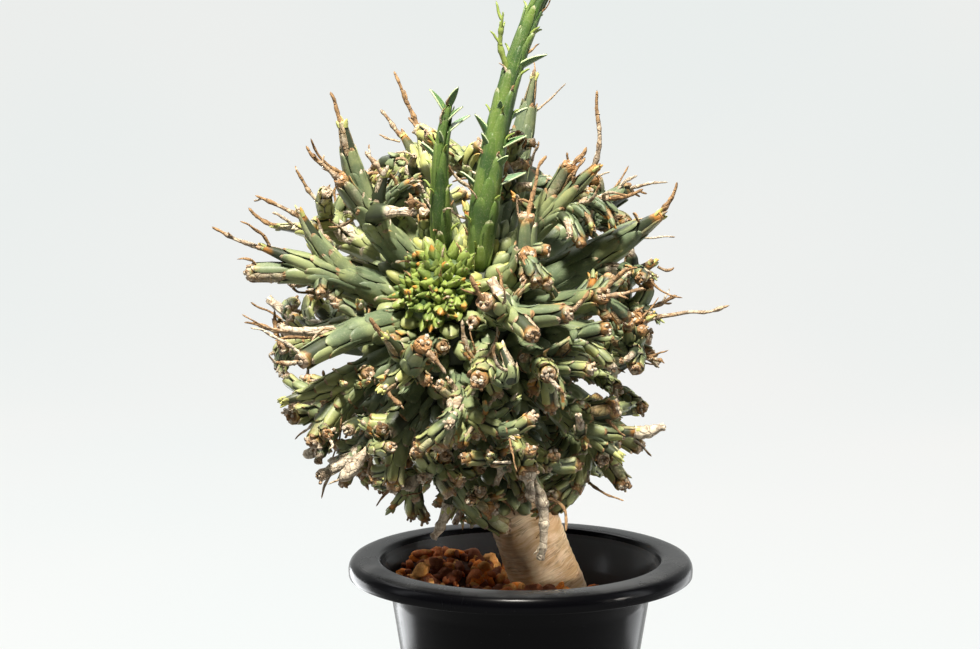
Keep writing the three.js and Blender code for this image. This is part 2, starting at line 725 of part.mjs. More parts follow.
/** The crowded fresh tubercles of the growing point, cut to sit on the woody head. */
function makeApex() {
  const direction = at(unit(APEX_DIRECTION));
  const dome = new THREE.IcosahedronGeometry(APEX_RADIUS, 1);
  const pieces = [dome];
  const upright = new THREE.Quaternion().setFromUnitVectors(UPWARD, direction);
  for (let i = 0; i < APEX_LEAVES; i += 1) {
    const tilt = Math.acos(1 - ((i + 0.5) / APEX_LEAVES) * APEX_COVER);
    const turn = i * GOLDEN_ANGLE;
    const outward = new THREE.Vector3().setFromSphericalCoords(1, tilt, turn);
    outward.set(outward.z, outward.x, outward.y).applyQuaternion(upright);
    const leaf = new THREE.ConeGeometry(APEX_LEAF_RADIUS, APEX_LEAF_LENGTH, 4);
    leaf.rotateX(Math.PI / 2);
    leaf.translate(0, 0, APEX_RADIUS + APEX_LEAF_LENGTH / 2 - APEX_LEAF_SUNK);
    leaf.applyQuaternion(new THREE.Quaternion().setFromUnitVectors(UPWARD, outward));
    pieces.push(leaf);
  }
  const place = times(unit(APEX_DIRECTION), CORE_RADIUS);
  return seatOnHead(join(pieces).translate(...place));
}

/** A curved leaf blade standing up along +Z, its face towards +X. */
function makeLeaf(length) {
  const half = length * 0.22;
  const outline = new THREE.Shape([
    new THREE.Vector2(-0.9, 0),
    new THREE.Vector2(0.9, 0),
    new THREE.Vector2(half, length * 0.4),
    new THREE.Vector2(half * 0.8, length * 0.75),
    new THREE.Vector2(0, length),
    new THREE.Vector2(-half * 0.8, length * 0.75),
    new THREE.Vector2(-half, length * 0.4),
  ]);
  const blade = new THREE.ExtrudeGeometry(outline, { depth: LEAF_THICKNESS, bevelEnabled: false });
  const position = blade.attributes.position;
  for (let i = 0; i < position.count; i += 1) {
    const across = position.getX(i);
    const along = position.getY(i);
    const bow = LEAF_BOW * Math.pow(along / length, 2) * length;
    position.setXYZ(i, position.getZ(i) + bow, across, along);
  }
  return blade;
}

/** A tall green shoot: a ridged stem through its course with leaves near its end. */
function makeShoot(course, radii, leaves) {
  const curve = new THREE.CatmullRomCurve3(course.map(at));
  const steps = Math.round(curve.getLength() / SHOOT_RING_SPACING);
  const stem = sweep(curve, 8, steps, (ring, corner) => {
    const plain = ring === 0 || ring === steps;
    const relief = (ring + corner) % 2 === 0 ? RIDGE : FURROW;
    return radiusOnCourse(radii, ring / steps) * (ring === steps ? 0.5 : 1) * (plain ? 1 : relief);
  });
  const blades = leaves.map(([along, turn, lean, length]) => {
    const blade = makeLeaf(length);
    blade.rotateY(lean);
    blade.translate(radiusOnCourse(radii, along) * 0.3, 0, -1);
    blade.rotateZ(turn);
    const heading = curve.getTangentAt(along);
    blade.applyQuaternion(new THREE.Quaternion().setFromUnitVectors(UPWARD, heading));
    const foot = curve.getPointAt(along);
    return blade.translate(foot.x, foot.y, foot.z);
  });
  return seatOnHead(join([stem, ...blades]));
}

/** Keeps the stems off a tall shoot and its leaves. */
function placeShoot(course, radii, leaves, placed, owner) {
  const count = 2 * Math.ceil(size(minus(course.at(-1), course[0])) / SHOOT_RING_SPACING);
  for (let i = 0; i <= count; i += 1) {
    const centre = placeOnCourse(course, i / count).point;
    placed.push({ centre, radius: radiusOnCourse(radii, i / count) * RIDGE, owner });
  }
  leaves.forEach(([along, turn, lean, length]) => {
    const { point, heading } = placeOnCourse(course, along);
    const outward = [Math.cos(turn), Math.sin(turn), 0];
    const leaning = plus(times(heading, Math.cos(lean)), times(outward, Math.sin(lean)));
    [0.3, 0.6, 0.9].forEach((share) => {
      const bowed = times(outward, LEAF_BOW * length * share * share);
      const centre = plus(plus(point, times(leaning, length * share)), bowed);
      placed.push({ centre, radius: LEAF_ROOM, owner });
    });
  });
}

/** Keeps the stems off the trunk and the growing point. */
function placeObstacles(placed) {
  for (let i = 0; i < 24; i += 1) {
    const centre = minus(placeOnCourse(TRUNK_COURSE, i / 24).point, HEAD_CENTRE);
    placed.push({ centre, radius: TRUNK_KEEP_OUT, owner: "trunk" });
  }
  const apex = times(unit(APEX_DIRECTION), CORE_RADIUS);
  placed.push({ centre: apex, radius: APEX_RADIUS + APEX_LEAF_LENGTH - APEX_LEAF_SUNK, owner: "apex" });
  placeShoot(TALL_SHOOT_COURSE, TALL_SHOOT_RADII, TALL_SHOOT_LEAVES, placed, "tall");
  placeShoot(SHORT_SHOOT_COURSE, SHORT_SHOOT_RADII, SHORT_SHOOT_LEAVES, placed, "short");
}

const plant = new THREE.Group();
plant.position.set(...HEAD_CENTRE);
const placed = [];
placeObstacles(placed);
plant.add(piece("apex", toGeometry(makeApex()), 0x7aa53a, 0.6));
const tallShoot = makeShoot(TALL_SHOOT_COURSE, TALL_SHOOT_RADII, TALL_SHOOT_LEAVES);
plant.add(piece("shoot_tall", toGeometry(tallShoot), 0x5f8c32, 0.6));
const shortShoot = makeShoot(SHORT_SHOOT_COURSE, SHORT_SHOOT_RADII, SHORT_SHOOT_LEAVES);
plant.add(piece("shoot_short", toGeometry(shortShoot), 0x5f8c32, 0.6));
layOutCrown(placed).forEach((stem, index) => {
  const name = `stem_${String(index + 1).padStart(2, "0")}`;
  plant.add(piece(name, toGeometry(makeStem(stem)), 0x6e8264, 0.7));
});

const pottedSpurge = new THREE.Group();
pottedSpurge.add(piece("pot", makePot(), 0x101214, 0.3));
pottedSpurge.add(piece("gravel", makeGravel(), 0x6a3820, 0.95));
pottedSpurge.add(piece("trunk", toGeometry(makeTrunk()), 0xb9a588, 0.85));
pottedSpurge.add(plant);

export default pottedSpurge;
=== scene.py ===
"""A potted many-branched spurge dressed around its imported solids.

A round crown of tubercled grey-green stems stands on a short pale trunk in coarse red
gravel, in a glossy black nursery pot. Lengths are in millimetres until a mesh is made.
"""

import logging
import math
from dataclasses import dataclass, field
from enum import Enum
from typing import Optional, Sequence

import bmesh
import bpy
import numpy as np
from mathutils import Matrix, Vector


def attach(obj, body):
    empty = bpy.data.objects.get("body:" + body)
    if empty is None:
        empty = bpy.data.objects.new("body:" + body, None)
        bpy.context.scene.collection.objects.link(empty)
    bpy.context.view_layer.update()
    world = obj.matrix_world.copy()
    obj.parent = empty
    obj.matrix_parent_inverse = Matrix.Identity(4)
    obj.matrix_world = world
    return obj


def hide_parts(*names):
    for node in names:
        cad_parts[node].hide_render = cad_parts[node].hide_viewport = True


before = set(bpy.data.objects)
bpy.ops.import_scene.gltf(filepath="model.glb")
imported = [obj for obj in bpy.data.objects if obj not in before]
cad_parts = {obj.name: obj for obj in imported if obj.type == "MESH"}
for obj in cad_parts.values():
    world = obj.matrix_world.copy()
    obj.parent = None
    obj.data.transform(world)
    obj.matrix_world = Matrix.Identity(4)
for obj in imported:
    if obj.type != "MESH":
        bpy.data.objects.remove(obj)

log = logging.getLogger("spurge")

MILLIMETRE = 0.001
GOLDEN_ANGLE = math.pi * (3 - math.sqrt(5))
Array = np.ndarray
Point = np.ndarray
Colour = tuple[float, float, float, float]
Triple = tuple[float, float, float]
Tree = bpy.types.NodeTree
Material = bpy.types.Material
Node = bpy.types.Node
Socket = bpy.types.NodeSocket
# groove_shade marks where shade is painted dark: under and between the tubercles and scales.
MARKS = ("wear", "rust", "young", "tone", "groove_shade")

# Trunk and woody head
HEAD_CENTRE = np.array([-24.0, -5.0, 234.0])
CORE_RADIUS = 42.0
TRUNK_COURSE = np.array(
    [[14, 0, 92], [14, 0, 113], [5, -1, 138], [-10, -3, 182], [-24, -5, 234]], float
)
TRUNK_RADII = [16.4, 16.6, 15.6, 15, 14.6, 14.4, 14.4, 14.6, 15, 15]
TRUNK_DIRECTION = np.array([0.33, 0.02, -0.94])

# Growing point and shoots, from the middle of the head
APEX_DIRECTION = np.array([-0.27, -0.82, 0.5])
APEX_BALL = 15.5
TALL_COURSE = np.array(
    [[5.7, -24.6, 27], [9, -31, 57], [14, -31, 86], [20, -28, 109], [27, -25, 129], [37, -22, 150]]
)
TALL_RADII = [5.2, 6.6, 5.4, 4.4, 3.8, 3]
SHORT_COURSE = np.array(
    [[-9.6, -14.8, 32.4], [-10, -23, 54], [-10, -27, 70], [-8, -27, 86], [-6, -26, 96]]
)
SHORT_RADII = [4.4, 4.8, 3.8, 3, 2.2]

# Leaves of the shoots: place along the shoot, turn about it, lean, length
TALL_LEAVES = [
    (0.42, 3.3, 0.5, 11),
    (0.47, 0.6, 0.6, 13),
    (0.66, -0.4, 0.7, 12),
    (0.95, 0.2, 0.5, 9),
    (0.96, 2.3, 0.5, 9),
    (0.97, -1.9, 0.5, 8),
]
SHORT_LEAVES = [
    (0.62, 2.9, 0.6, 9),
    (0.8, 0.3, 0.6, 11),
    (0.93, 3.2, 0.6, 10),
    (0.97, -1.2, 0.4, 9),
]
LEAF_BOW = 0.25

# Small leaves that only the finer model has
TALL_SMALL_LEAVES = [
    (0.25, 3.0, 0.7, 10),
    (0.28, 0.2, 0.9, 12),
    (0.33, -0.9, 0.6, 9),
    (0.38, -2.4, 0.4, 9),
    (0.4, -0.3, 0.8, 11),
    (0.5, -1.8, 0.4, 7),
]
SHORT_SMALL_LEAVES = [
    (0.72, -1.9, 0.4, 7),
    (0.88, -0.5, 0.5, 8),
]

# Heads seen from the front: across, up, distance from the middle of the head (negative
# on the far side), kind of end, radius, and the dry stalk's run across and up
SEEN_HEADS = [
    (-50, 88, 106, "fresh", 4.6, -4, 10),
    (-51, 66, 92, "stub", 4.2, -12, 10),
    (-68, 51, 90, "rusty", 4.2, -16, 3),
    (-83, 40, -96, "fresh", 3.8, -9, 8),
    (-84, 37, 98, "rusty", 4.4, -16, 7),
    (-90, 26, 99, "stub", 4.4, 0, 0),
    (-87, 8, -92, "dead", 3.4, 0, 0),
    (-75, 4, 88, "dead", 3.6, -9, 3),
    (-66, -7, 90, "stub", 5, -9, 1),
    (-74, -25, 92, "fresh", 4.2, 0, 0),
    (-80, -42, -94, "dead", 3.4, 0, 0),
    (-62, -43, 90, "stub", 4.4, 0, 0),
    (-60, -57, 94, "dead", 4.6, 0, 0),
    (-54, -73, -92, "stub", 3.8, 0, 0),
    (-45, -49, 90, "dead", 3.8, -4, -6),
    (-29, -62, 84, "stub", 4.2, 0, 0),
    (-17, -54, 86, "dead", 4, 0, 0),
    (-7, -72, 84, "fresh", 4.4, -6, -9),
    (12, -72, 86, "stub", 4, 0, 0),
    (27, -54, 84, "stub", 5, 0, -10),
    (33, -66, 88, "dead", 3.8, -5, -22),
    (18, -82, 90, "stub", 4, 0, 0),
    (46, -66, 87, "stub", 4.2, 0, 0),
    (44, -74, -90, "stub", 4.2, 0, 0),
    (63, -28, 84, "stub", 5, 0, 0),
    (75, -41, -88, "fresh", 3.8, 0, 0),
    (73, -38, 94, "rusty", 4.2, 8, 2),
    (77, -56, -96, "stub", 4, 0, 0),
    (67, -63, 99, "stub", 4.4, 0, 0),
    (64, -48, 94, "fresh", 4.2, 0, 0),
    (71, -4, 80, "fresh", 4.2, 9, -6),
    (81, -8, -84, "stub", 4.6, 0, 0),
    (78, 8, 84, "rusty", 4.4, 26, 0),
    (77, 25, 86, "dead", 3.6, 0, 0),
    (82, 50, 100, "rusty", 4.6, 4, 12),
    (72, 57, -96, "stub", 4.2, 0, 0),
    (60, 57, 88, "dead", 3.8, 11, 3),
    (55, 70, 94, "rusty", 4.6, -6, 27),
    (44, 71, 88, "stub", 4.6, 6, 5),
    (30, 106, -114, "fresh", 4.2, 0, 0),
    (-20, 82, -90, "fresh", 3.6, -10, 21),
    (-28, 80, -92, "rusty", 3.8, -8, 9),
    (-32, 68, 82, "fresh", 3.8, -10, 6),
    (-20, 52, 70, "dead", 3.4, -4, 8),
    (8, 20, 84, "stub", 4.6, -4, 10),
    (-15, 4, 86, "stub", 4.6, 7, -14),
    (6, -11, 86, "stub", 5, 0, 0),
    (21, -35, 84, "rusty", 4.4, 0, 0),
    (-6, -30, 84, "dead", 4.2, 0, 0),
    (43, 14, 84, "stub", 4.4, 5, 9),
    (28, 6, 86, "stub", 4.4, 0, 0),
    (57, 20, 84, "stub", 4.4, 14, 2),
    (34, -10, 84, "stub", 4.2, 6, -7),
    (37, -52, 81, "stub", 4.4, 0, 0),
    (51, -62, 86, "dead", 3.8, 0, 0),
    (50, -42, 84, "rusty", 4.2, 0, 0),
    (11, -46, 78, "stub", 4.2, 0, 0),
    (-32, -16, 84, "fresh", 4, 9, -5),
    (-31, 6, 84, "fresh", 3.8, -5, 6),
]


class End(Enum):
    """How a stem ends."""

    FRESH = "fresh"
    RUSTY = "rusty"
    STUB = "stub"
    DEAD = "dead"


class Slot(Enum):
    """The record's material slots."""

    POT = "pot_plastic"
    GRAVEL = "gravel"
    BARK = "bark"
    STEM = "stem_skin"
    FRESH = "fresh_growth"


# Vectors and draws


class SeededDraw:
    """A repeatable draw between 0 and 1, the same as the solids' one."""

    def __init__(self, seed: int) -> None:
        """Starts the draw at its seed."""
        self.state = seed

    def __call__(self) -> float:
        """The next number."""
        self.state = (self.state * 48271) % 2147483647
        return self.state / 2147483647

    def between(self, low: float, high: float) -> float:
        """A number between low and high."""
        return low + (high - low) * self()

    def direction(self) -> Point:
        """A direction drawn evenly over the sphere."""
        rise = self.between(-1, 1)
        return on_sphere(rise, self.between(0, 2 * math.pi))


def on_sphere(rise: float, turn: float) -> Point:
    """The direction with a height and a turn about the upright axis."""
    level = math.sqrt(max(0.0, 1 - rise * rise))
    return np.array([level * math.cos(turn), level * math.sin(turn), rise])


def spread_spot(number: int, count: int, shift: float = 0.0) -> Point:
    """One of some directions that are spread evenly over a ball."""
    return on_sphere(1 - 2 * (number + 0.5) / count, number * GOLDEN_ANGLE + shift)


def size(vector: Point) -> float:
    """The length of a vector."""
    return math.sqrt(vector[0] * vector[0] + vector[1] * vector[1] + vector[2] * vector[2])


def unit(vector: Point) -> Point:
    """A vector of length one with the same direction."""
    return vector * (1 / size(vector))


def angle_between(a: Point, b: Point) -> float:
    """The angle between two directions in degrees."""
    cosine = float(a[0] * b[0] + a[1] * b[1] + a[2] * b[2]) / size(a) / size(b)
    return math.degrees(math.acos(max(-1.0, min(1.0, cosine))))


def smooth(low: float, high: float, value: Array) -> Array:
    """A soft step from 0 at low to 1 at high, which may be the lesser one."""
    share = np.clip((value - low) / (high - low), 0, 1)
    return share * share * (3 - 2 * share)


def hashed(*keys: Array) -> Array:
    """A repeatable number between 0 and 1 for each set of keys."""
    total = sum(np.asarray(key) * weight for key, weight in zip(keys, (12.9898, 78.233, 37.719)))
    return np.modf(np.abs(np.sin(total) * 43758.5453))[0]


def turn_about(vector: Point, axis: Point, angle: float) -> Point:
    """A vector turned about an axis by an angle in radians."""
    along = axis * float(np.dot(axis, vector))
    return along + (vector - along) * math.cos(angle) + np.cross(axis, vector) * math.sin(angle)


def square_to(direction: Point) -> Point:
    """A direction at a right angle to another."""
    helper = np.array([0.0, 0.0, 1.0]) if abs(direction[2]) < 0.9 else np.array([1.0, 0.0, 0.0])
    return unit(np.cross(direction, helper))


def around(axis: Point, turn: float) -> Point:
    """A direction at a right angle to an axis, turned about it."""
    side = square_to(axis)
    return side * math.cos(turn) + np.cross(axis, side) * math.sin(turn)


# Courses


def arc_point(arc: Array, t: float) -> Point:
    """A point on the arc from its start by way of its middle point to its end."""
    before, after = arc[0] * (1 - t) + arc[1] * t, arc[1] * (1 - t) + arc[2] * t
    return before * (1 - t) + after * t


def arc_direction(arc: Array, t: float) -> Point:
    """The direction of the arc at t."""
    return unit((arc[1] - arc[0]) * (1 - t) + (arc[2] - arc[1]) * t)


def arc_points(arc: Array, count: int) -> Array:
    """Points spaced evenly along an arc."""
    t = np.linspace(0, 1, 64)[:, None]
    return even_points(arc[0] * (1 - t) ** 2 + arc[1] * 2 * t * (1 - t) + arc[2] * t * t, count)


def even_points(fine: Array, count: int) -> Array:
    """Points spaced evenly along a polyline.

    Args:
        fine: The polyline's points.
        count: How many points are wanted.

    Returns:
        The points.
    """
    runs = np.linalg.norm(np.diff(fine, axis=0), axis=1)
    reach = np.concatenate([[0], np.cumsum(runs)])
    wanted = np.linspace(0, reach[-1], count)
    return np.stack([np.interp(wanted, reach, fine[:, k]) for k in range(3)], axis=1)


def course_points(course: Array, count: int) -> Array:
    """Points spaced evenly along a smooth curve through a course.

    Args:
        course: The points that the curve passes.
        count: How many points are wanted.

    Returns:
        The points.
    """
    before = 2 * course[0] - course[1]
    after = 2 * course[-1] - course[-2]
    knots = np.vstack([before, course, after])
    fine = []
    for i in range(1, len(knots) - 2):
        a, b, c, d = knots[i - 1 : i + 3]
        steps = [max(1e-4, size(v) ** 0.5) for v in (b - a, c - b, d - c)]
        near = (b - a) / steps[0] - (c - a) / (steps[0] + steps[1]) + (c - b) / steps[1]
        far = (c - b) / steps[1] - (d - b) / (steps[1] + steps[2]) + (d - c) / steps[2]
        near, far = near * steps[1], far * steps[1]
        t = np.linspace(0, 1, 40)[:, None]
        cubic = (2 * b - 2 * c + near + far) * t**3
        fine.append(cubic + (3 * c - 3 * b - 2 * near - far) * t * t + near * t + b)
    return even_points(np.vstack(fine), count)


def place_on_course(course: Array, share: float) -> tuple[Point, Point]:
    """The place and direction on a course of straight runs at a share of its length.

    Args:
        course: The points between the runs.
        share: The share of the whole length.

    Returns:
        The place and the direction.
    """
    runs = [size(b - a) for a, b in zip(course[:-1], course[1:])]
    left = share * sum(runs)
    index = 0
    while index < len(runs) - 1 and left > runs[index]:
        left -= runs[index]
        index += 1
    heading = unit(course[index + 1] - course[index])
    return course[index] + heading * left, heading


def radius_on_course(radii: Sequence[float], share: float) -> float:
    """The radius of a tapered stem at a share of its length."""
    return float(np.interp(share * (len(radii) - 1), np.arange(len(radii)), radii))


# The crown's plan


@dataclass
class Head:
    """The outer end of a stem arm, from the middle of the woody head."""

    tip: Point
    end: End
    radius: float
    run: Point
    seen: int


@dataclass
class Arm:
    """One arm of a stem: its arc, its radii and its head."""

    head: Head
    arc: Array
    radii: list[float]
    balls: Array
    swell: float


@dataclass
class Stem:
    """A leading arm, its forks and their dry stalks."""

    root: Point
    number: int = 0
    members: list[Head] = field(default_factory=list)
    arms: list[Arm] = field(default_factory=list)
    stalks: list[Array] = field(default_factory=list)


@dataclass
class CrownPlan:
    """Lays out every stem by the rule and the draw of the solids."""

    seed: int = 1012
    heads_wanted: int = 134
    head_spacing: float = 15
    stalk_share: float = 0.32
    stalk_radius: float = 1.05
    stems: int = 53
    heads_per_stem: int = 4
    root_depth: float = 3.5
    stem_radius: float = 7
    full_reach: float = 84
    fork_radius: float = 5
    first_fork: float = 0.14
    fork_step: float = 0.19
    clearance: float = 0.8
    least_gap: float = 0.25
    ridge: float = 1.15
    stem_swell: float = 1.8
    fork_swell: float = 1.2
    arc_tries: int = 36
    root_spacing: float = 23
    placed: list[tuple[float, float, float, float, int]] = field(default_factory=list)

    def __post_init__(self) -> None:
        """Starts the draw that bows the arms."""
        self.draw = SeededDraw(self.seed + 2)

    def lay_out(self) -> list[Stem]:
        """Finds every arm and dry stalk.

        Returns:
            The stems that found room, in the order of the solids' names.
        """
        self.keep_clear()
        stems = self.gather(self.place_heads())
        for stem in stems:
            head = stem.members[0]
            reach = (size(head.tip) - CORE_RADIUS) / (self.full_reach - CORE_RADIUS)
            thick = self.stem_radius * (0.6 + 0.4 * reach)
            start = stem.root * (CORE_RADIUS - self.root_depth)
            self.grow(stem, head, start, stem.root, thick, self.stem_swell)
        forks = [(stem, *fork) for stem in stems for fork in enumerate(stem.members[1:])]
        forks.sort(key=lambda fork: -fork[2].seen)
        for stem, index, head in forks:
            if stem.arms:
                leader, place = stem.arms[0].arc, self.first_fork + self.fork_step * index
                start, heading = arc_point(leader, place), arc_direction(leader, place)
                self.grow(stem, head, start, heading, self.fork_radius, self.fork_swell)
        self.swell_arms(stems)
        self.add_stalks(stems)
        return [stem for stem in stems if stem.arms]

    def keep_clear(self) -> None:
        """Places balls that keep the stems off the trunk, the growing point and the shoots."""
        for i in range(24):
            centre = place_on_course(TRUNK_COURSE, i / 24)[0] - HEAD_CENTRE
            self.placed.append((*centre, 16.0, -1))
        self.placed.append((*(unit(APEX_DIRECTION) * CORE_RADIUS), APEX_BALL, -2))
        self.keep_shoot_clear(TALL_COURSE, TALL_RADII, TALL_LEAVES, -3)
        self.keep_shoot_clear(SHORT_COURSE, SHORT_RADII, SHORT_LEAVES, -4)

    def keep_shoot_clear(self, course: Array, radii: Sequence[float], leaves: Sequence, owner: int) -> None:
        """Places the balls of a shoot and its leaves.

        Args:
            course: The points the shoot passes.
            radii: Its radii from root to tip.
            leaves: Its leaves.
            owner: Its mark among the placed balls.
        """
        count = 2 * math.ceil(size(course[-1] - course[0]) / 10)
        for i in range(count + 1):
            radius = radius_on_course(radii, i / count) * self.ridge
            self.placed.append((*place_on_course(course, i / count)[0], radius, owner))
        for along, turn, lean, length in leaves:
            point, heading = place_on_course(course, along)
            outward = np.array([math.cos(turn), math.sin(turn), 0])
            leaning = heading * math.cos(lean) + outward * math.sin(lean)
            for share in (0.3, 0.6, 0.9):
                bowed = outward * (LEAF_BOW * length * share * share)
                centre = point + leaning * (length * share) + bowed
                self.placed.append((*centre, 2.8, owner))

    def place_heads(self) -> list[Head]:
        """Finds the heads seen from the front, then a scatter between them.

        Returns:
            Every head of the crown.
        """
        heads = []
        for x, z, reach, end, radius, run_x, run_z in SEEN_HEADS:
            depth = math.sqrt(max(0, reach * reach - x * x - z * z))
            tip = np.array([x, -depth if reach > 0 else depth, z], float)
            heads.append(Head(tip, End(end), radius, np.array([run_x, 0, run_z], float), 1))
        draw = SeededDraw(self.seed + 1)
        ends = [End.FRESH, End.STUB, End.RUSTY, End.STUB, End.DEAD]
        for _ in range(6000):
            if len(heads) >= self.heads_wanted:
                break
            turn = draw() * math.pi * 2
            direction = on_sphere(draw() * 2 - 1, turn)
            from_apex = angle_between(direction, APEX_DIRECTION)
            shorter = 1 - 0.22 * draw() ** 2
            tip = direction * (self.usual_reach(from_apex) * shorter + (draw() - 0.5) * 8)
            end = ends[math.floor(draw() * len(ends))]
            radius = 3.8 + draw() * 0.9
            run = np.zeros(3)
            if draw() < self.stalk_share:
                run = np.array([draw() - 0.5, draw() - 0.5, draw() - 0.2]) * 26
            clear = all(size(head.tip - tip) > self.head_spacing for head in heads)
            if clear and from_apex > 27 and angle_between(direction, TRUNK_DIRECTION) > 25:
                heads.append(Head(tip, end, radius, run, 0))
        return heads

    @staticmethod
    def usual_reach(angle: float) -> float:
        """How far a head stands out, from its angle to the growing point."""
        return 60 if angle < 38 else 70 if angle < 55 else 83 if angle < 125 else 78

    def spread_roots(self) -> list[Point]:
        """Spreads the roots evenly over the woody head, clear of its other growths.

        Returns:
            The direction of each root.
        """
        roots = np.array([spread_spot(i, self.stems) for i in range(self.stems)])
        growths = (APEX_DIRECTION, TALL_COURSE[0], SHORT_COURSE[0], TRUNK_DIRECTION)
        fixed = np.array([unit(growth) for growth in growths])
        rooms = np.array([self.root_spacing] * self.stems + [36, 21, 21, 36], float)
        strengths = np.array([0.005] * self.stems + [0.016] * len(growths))
        for _ in range(240):
            for index in range(self.stems):
                root = roots[index]
                others = np.vstack([roots, fixed])
                cosines = np.clip(others @ root, -1, 1)
                lacks = rooms - np.degrees(np.arccos(cosines))
                lacks[index] = 0
                near = lacks > 0
                away = root - others[near]
                away /= np.linalg.norm(away, axis=1)[:, None]
                push = (away * (lacks[near] * strengths[near])[:, None]).sum(axis=0)
                roots[index] = unit(root + push)
        return list(roots)

    def gather(self, heads: Sequence[Head]) -> list[Stem]:
        """Heads gathered into stems: each joins the nearest root that still has room.

        Args:
            heads: Every head of the crown.

        Returns:
            The stems that have heads.
        """
        stems = [Stem(root) for root in self.spread_roots()]
        for head in heads:
            room = [stem for stem in stems if len(stem.members) < self.heads_per_stem]
            nearest = min(room, key=lambda stem: angle_between(stem.root, head.tip))
            nearest.members.append(head)
        kept = [stem for stem in stems if stem.members]
        for number, stem in enumerate(kept):
            stem.number = number
            stem.members.sort(key=lambda head: angle_between(stem.root, head.tip) - 30 * head.seen)
        return kept

    def balls_along(self, arc: Array, near: float, far: float) -> Array:
        """Balls that stand for a stem outside the woody head.

        Args:
            arc: The stem's arc.
            near: The first ball's radius.
            far: The last ball's radius.

        Returns:
            Place and radius of each ball.
        """
        length = size(arc[1] - arc[0]) + size(arc[2] - arc[1])
        count = math.ceil(length / 3)
        balls = []
        for i in range(count + 1):
            centre = arc_point(arc, i / count)
            if size(centre) > CORE_RADIUS:
                balls.append([*centre, near + (far - near) * (i / count)])
        return np.array(balls)

    def gap_to(self, balls: Array, owner: int, others: Array) -> float:
        """The least gap between some balls and those of every other stem.

        Args:
            balls: Place and radius of each ball.
            owner: The number of their stem.
            others: Place, radius and stem of every ball.

        Returns:
            The gap, which is negative where they overlap.
        """
        reach = np.abs(others[:, :3] - balls[:, :3].mean(axis=0)).max(axis=1)
        span = np.ptp(balls[:, :3], axis=0).max() + 30
        near = others[(others[:, 4] != owner) & (reach < span)]
        if not len(near):
            return math.inf
        step = balls[:, None, :3] - near[None, :, :3]
        apart = np.sqrt(step[..., 0] ** 2 + step[..., 1] ** 2 + step[..., 2] ** 2)
        return float((apart - balls[:, None, 3] - near[None, :, 3]).min())

    def jitter(self, width: float) -> Point:
        """A drawn shift in a box of some width."""
        return np.array([self.draw() - 0.5, self.draw() - 0.5, self.draw() - 0.5]) * width

    def clear_arc(
        self, start: Point, heading: Point, tip: Point, radii: Sequence[float], owner: int
    ) -> tuple[Optional[Array], Optional[Array], float]:
        """The best of several bowed arcs between two places, by its gap to the other stems.

        Args:
            start: Where the arc starts.
            heading: The direction it starts in.
            tip: Where it ends.
            radii: Its first and last radius.
            owner: The number of the stem it belongs to.

        Returns:
            The arc, its balls and its gap.
        """
        length = size(tip - start)
        others = np.array(self.placed)
        best = (None, None, -math.inf)
        for k in range(self.arc_tries):
            if best[2] >= self.clearance:
                break
            sway, shift = self.jitter(1.3 * k), self.jitter(0.5 * k)
            control = start + heading * (length * 0.45) + (sway + np.array([0, 0, -2]))
            arc = np.array([start, control, tip + shift])
            balls = self.balls_along(arc, radii[0] * 1.05, radii[1] * self.ridge)
            gap = self.gap_to(balls, owner, others)
            if gap > best[2]:
                best = (arc, balls, gap)
        return best

    def grow(
        self, stem: Stem, head: Head, start: Point, heading: Point, thick: float, swell: float
    ) -> None:
        """Adds an arm to a stem where it finds room.

        Args:
            stem: The stem that the arm belongs to.
            head: The head at the arm's end.
            start: Where the arm starts.
            heading: The direction it starts in.
            thick: Its first radius.
            swell: How much it may thicken.
        """
        radii = [thick, head.radius]
        arc, balls, gap = self.clear_arc(start, heading, head.tip, radii, stem.number)
        if gap > self.least_gap:
            stem.arms.append(Arm(head, arc, radii, balls, swell))
            self.placed.extend((*ball, stem.number) for ball in balls)

    def swell_arms(self, stems: Sequence[Stem]) -> None:
        """Thickens each arm into the free space around it.

        Args:
            stems: All stems, in their order.
        """
        others = np.array(self.placed)
        places = {}
        for index, row in enumerate(self.placed):
            places.setdefault(tuple(row[:3]), index)
        for stem in stems:
            for arm in stem.arms:
                spare = self.gap_to(arm.balls, stem.number, others) - self.clearance
                growth = max(0.0, min(arm.swell, spare * 0.5))
                arm.radii = [radius + growth / self.ridge for radius in arm.radii]
                arm.balls[:, 3] += growth
                for ball in arm.balls:
                    others[places[tuple(ball[:3])], 3] = ball[3]
        self.placed = [tuple(row) for row in others]

    def add_stalks(self, stems: Sequence[Stem]) -> None:
        """Grows the dry flower stalks of each stem.

        Args:
            stems: All stems, in their order.
        """
        radii = [self.stalk_radius, self.stalk_radius]
        for stem in stems:
            for arm in [arm for arm in stem.arms if size(arm.head.run) > 3]:
                heading = arc_direction(arm.arc, 1)
                run = arm.head.run + heading * (0.25 * size(arm.head.run))
                start = arm.arc[2] - heading * (arm.radii[1] * 0.6)
                lean = unit(heading + unit(run))
                arc, balls, gap = self.clear_arc(start, lean, arm.arc[2] + run, radii, stem.number)
                if gap > self.least_gap:
                    stem.stalks.append(arc)
                    self.placed.extend((*ball, stem.number) for ball in balls)


# Meshes


@dataclass
class Patch:
    """A patch of mesh with the marks that its finish reads."""

    points: Array
    faces: Array
    marks: dict[str, Array | float] = field(default_factory=dict)

    def placed(self, offset: Point) -> "Patch":
        """The same patch moved by an offset."""
        return Patch(self.points + offset, self.faces, self.marks)


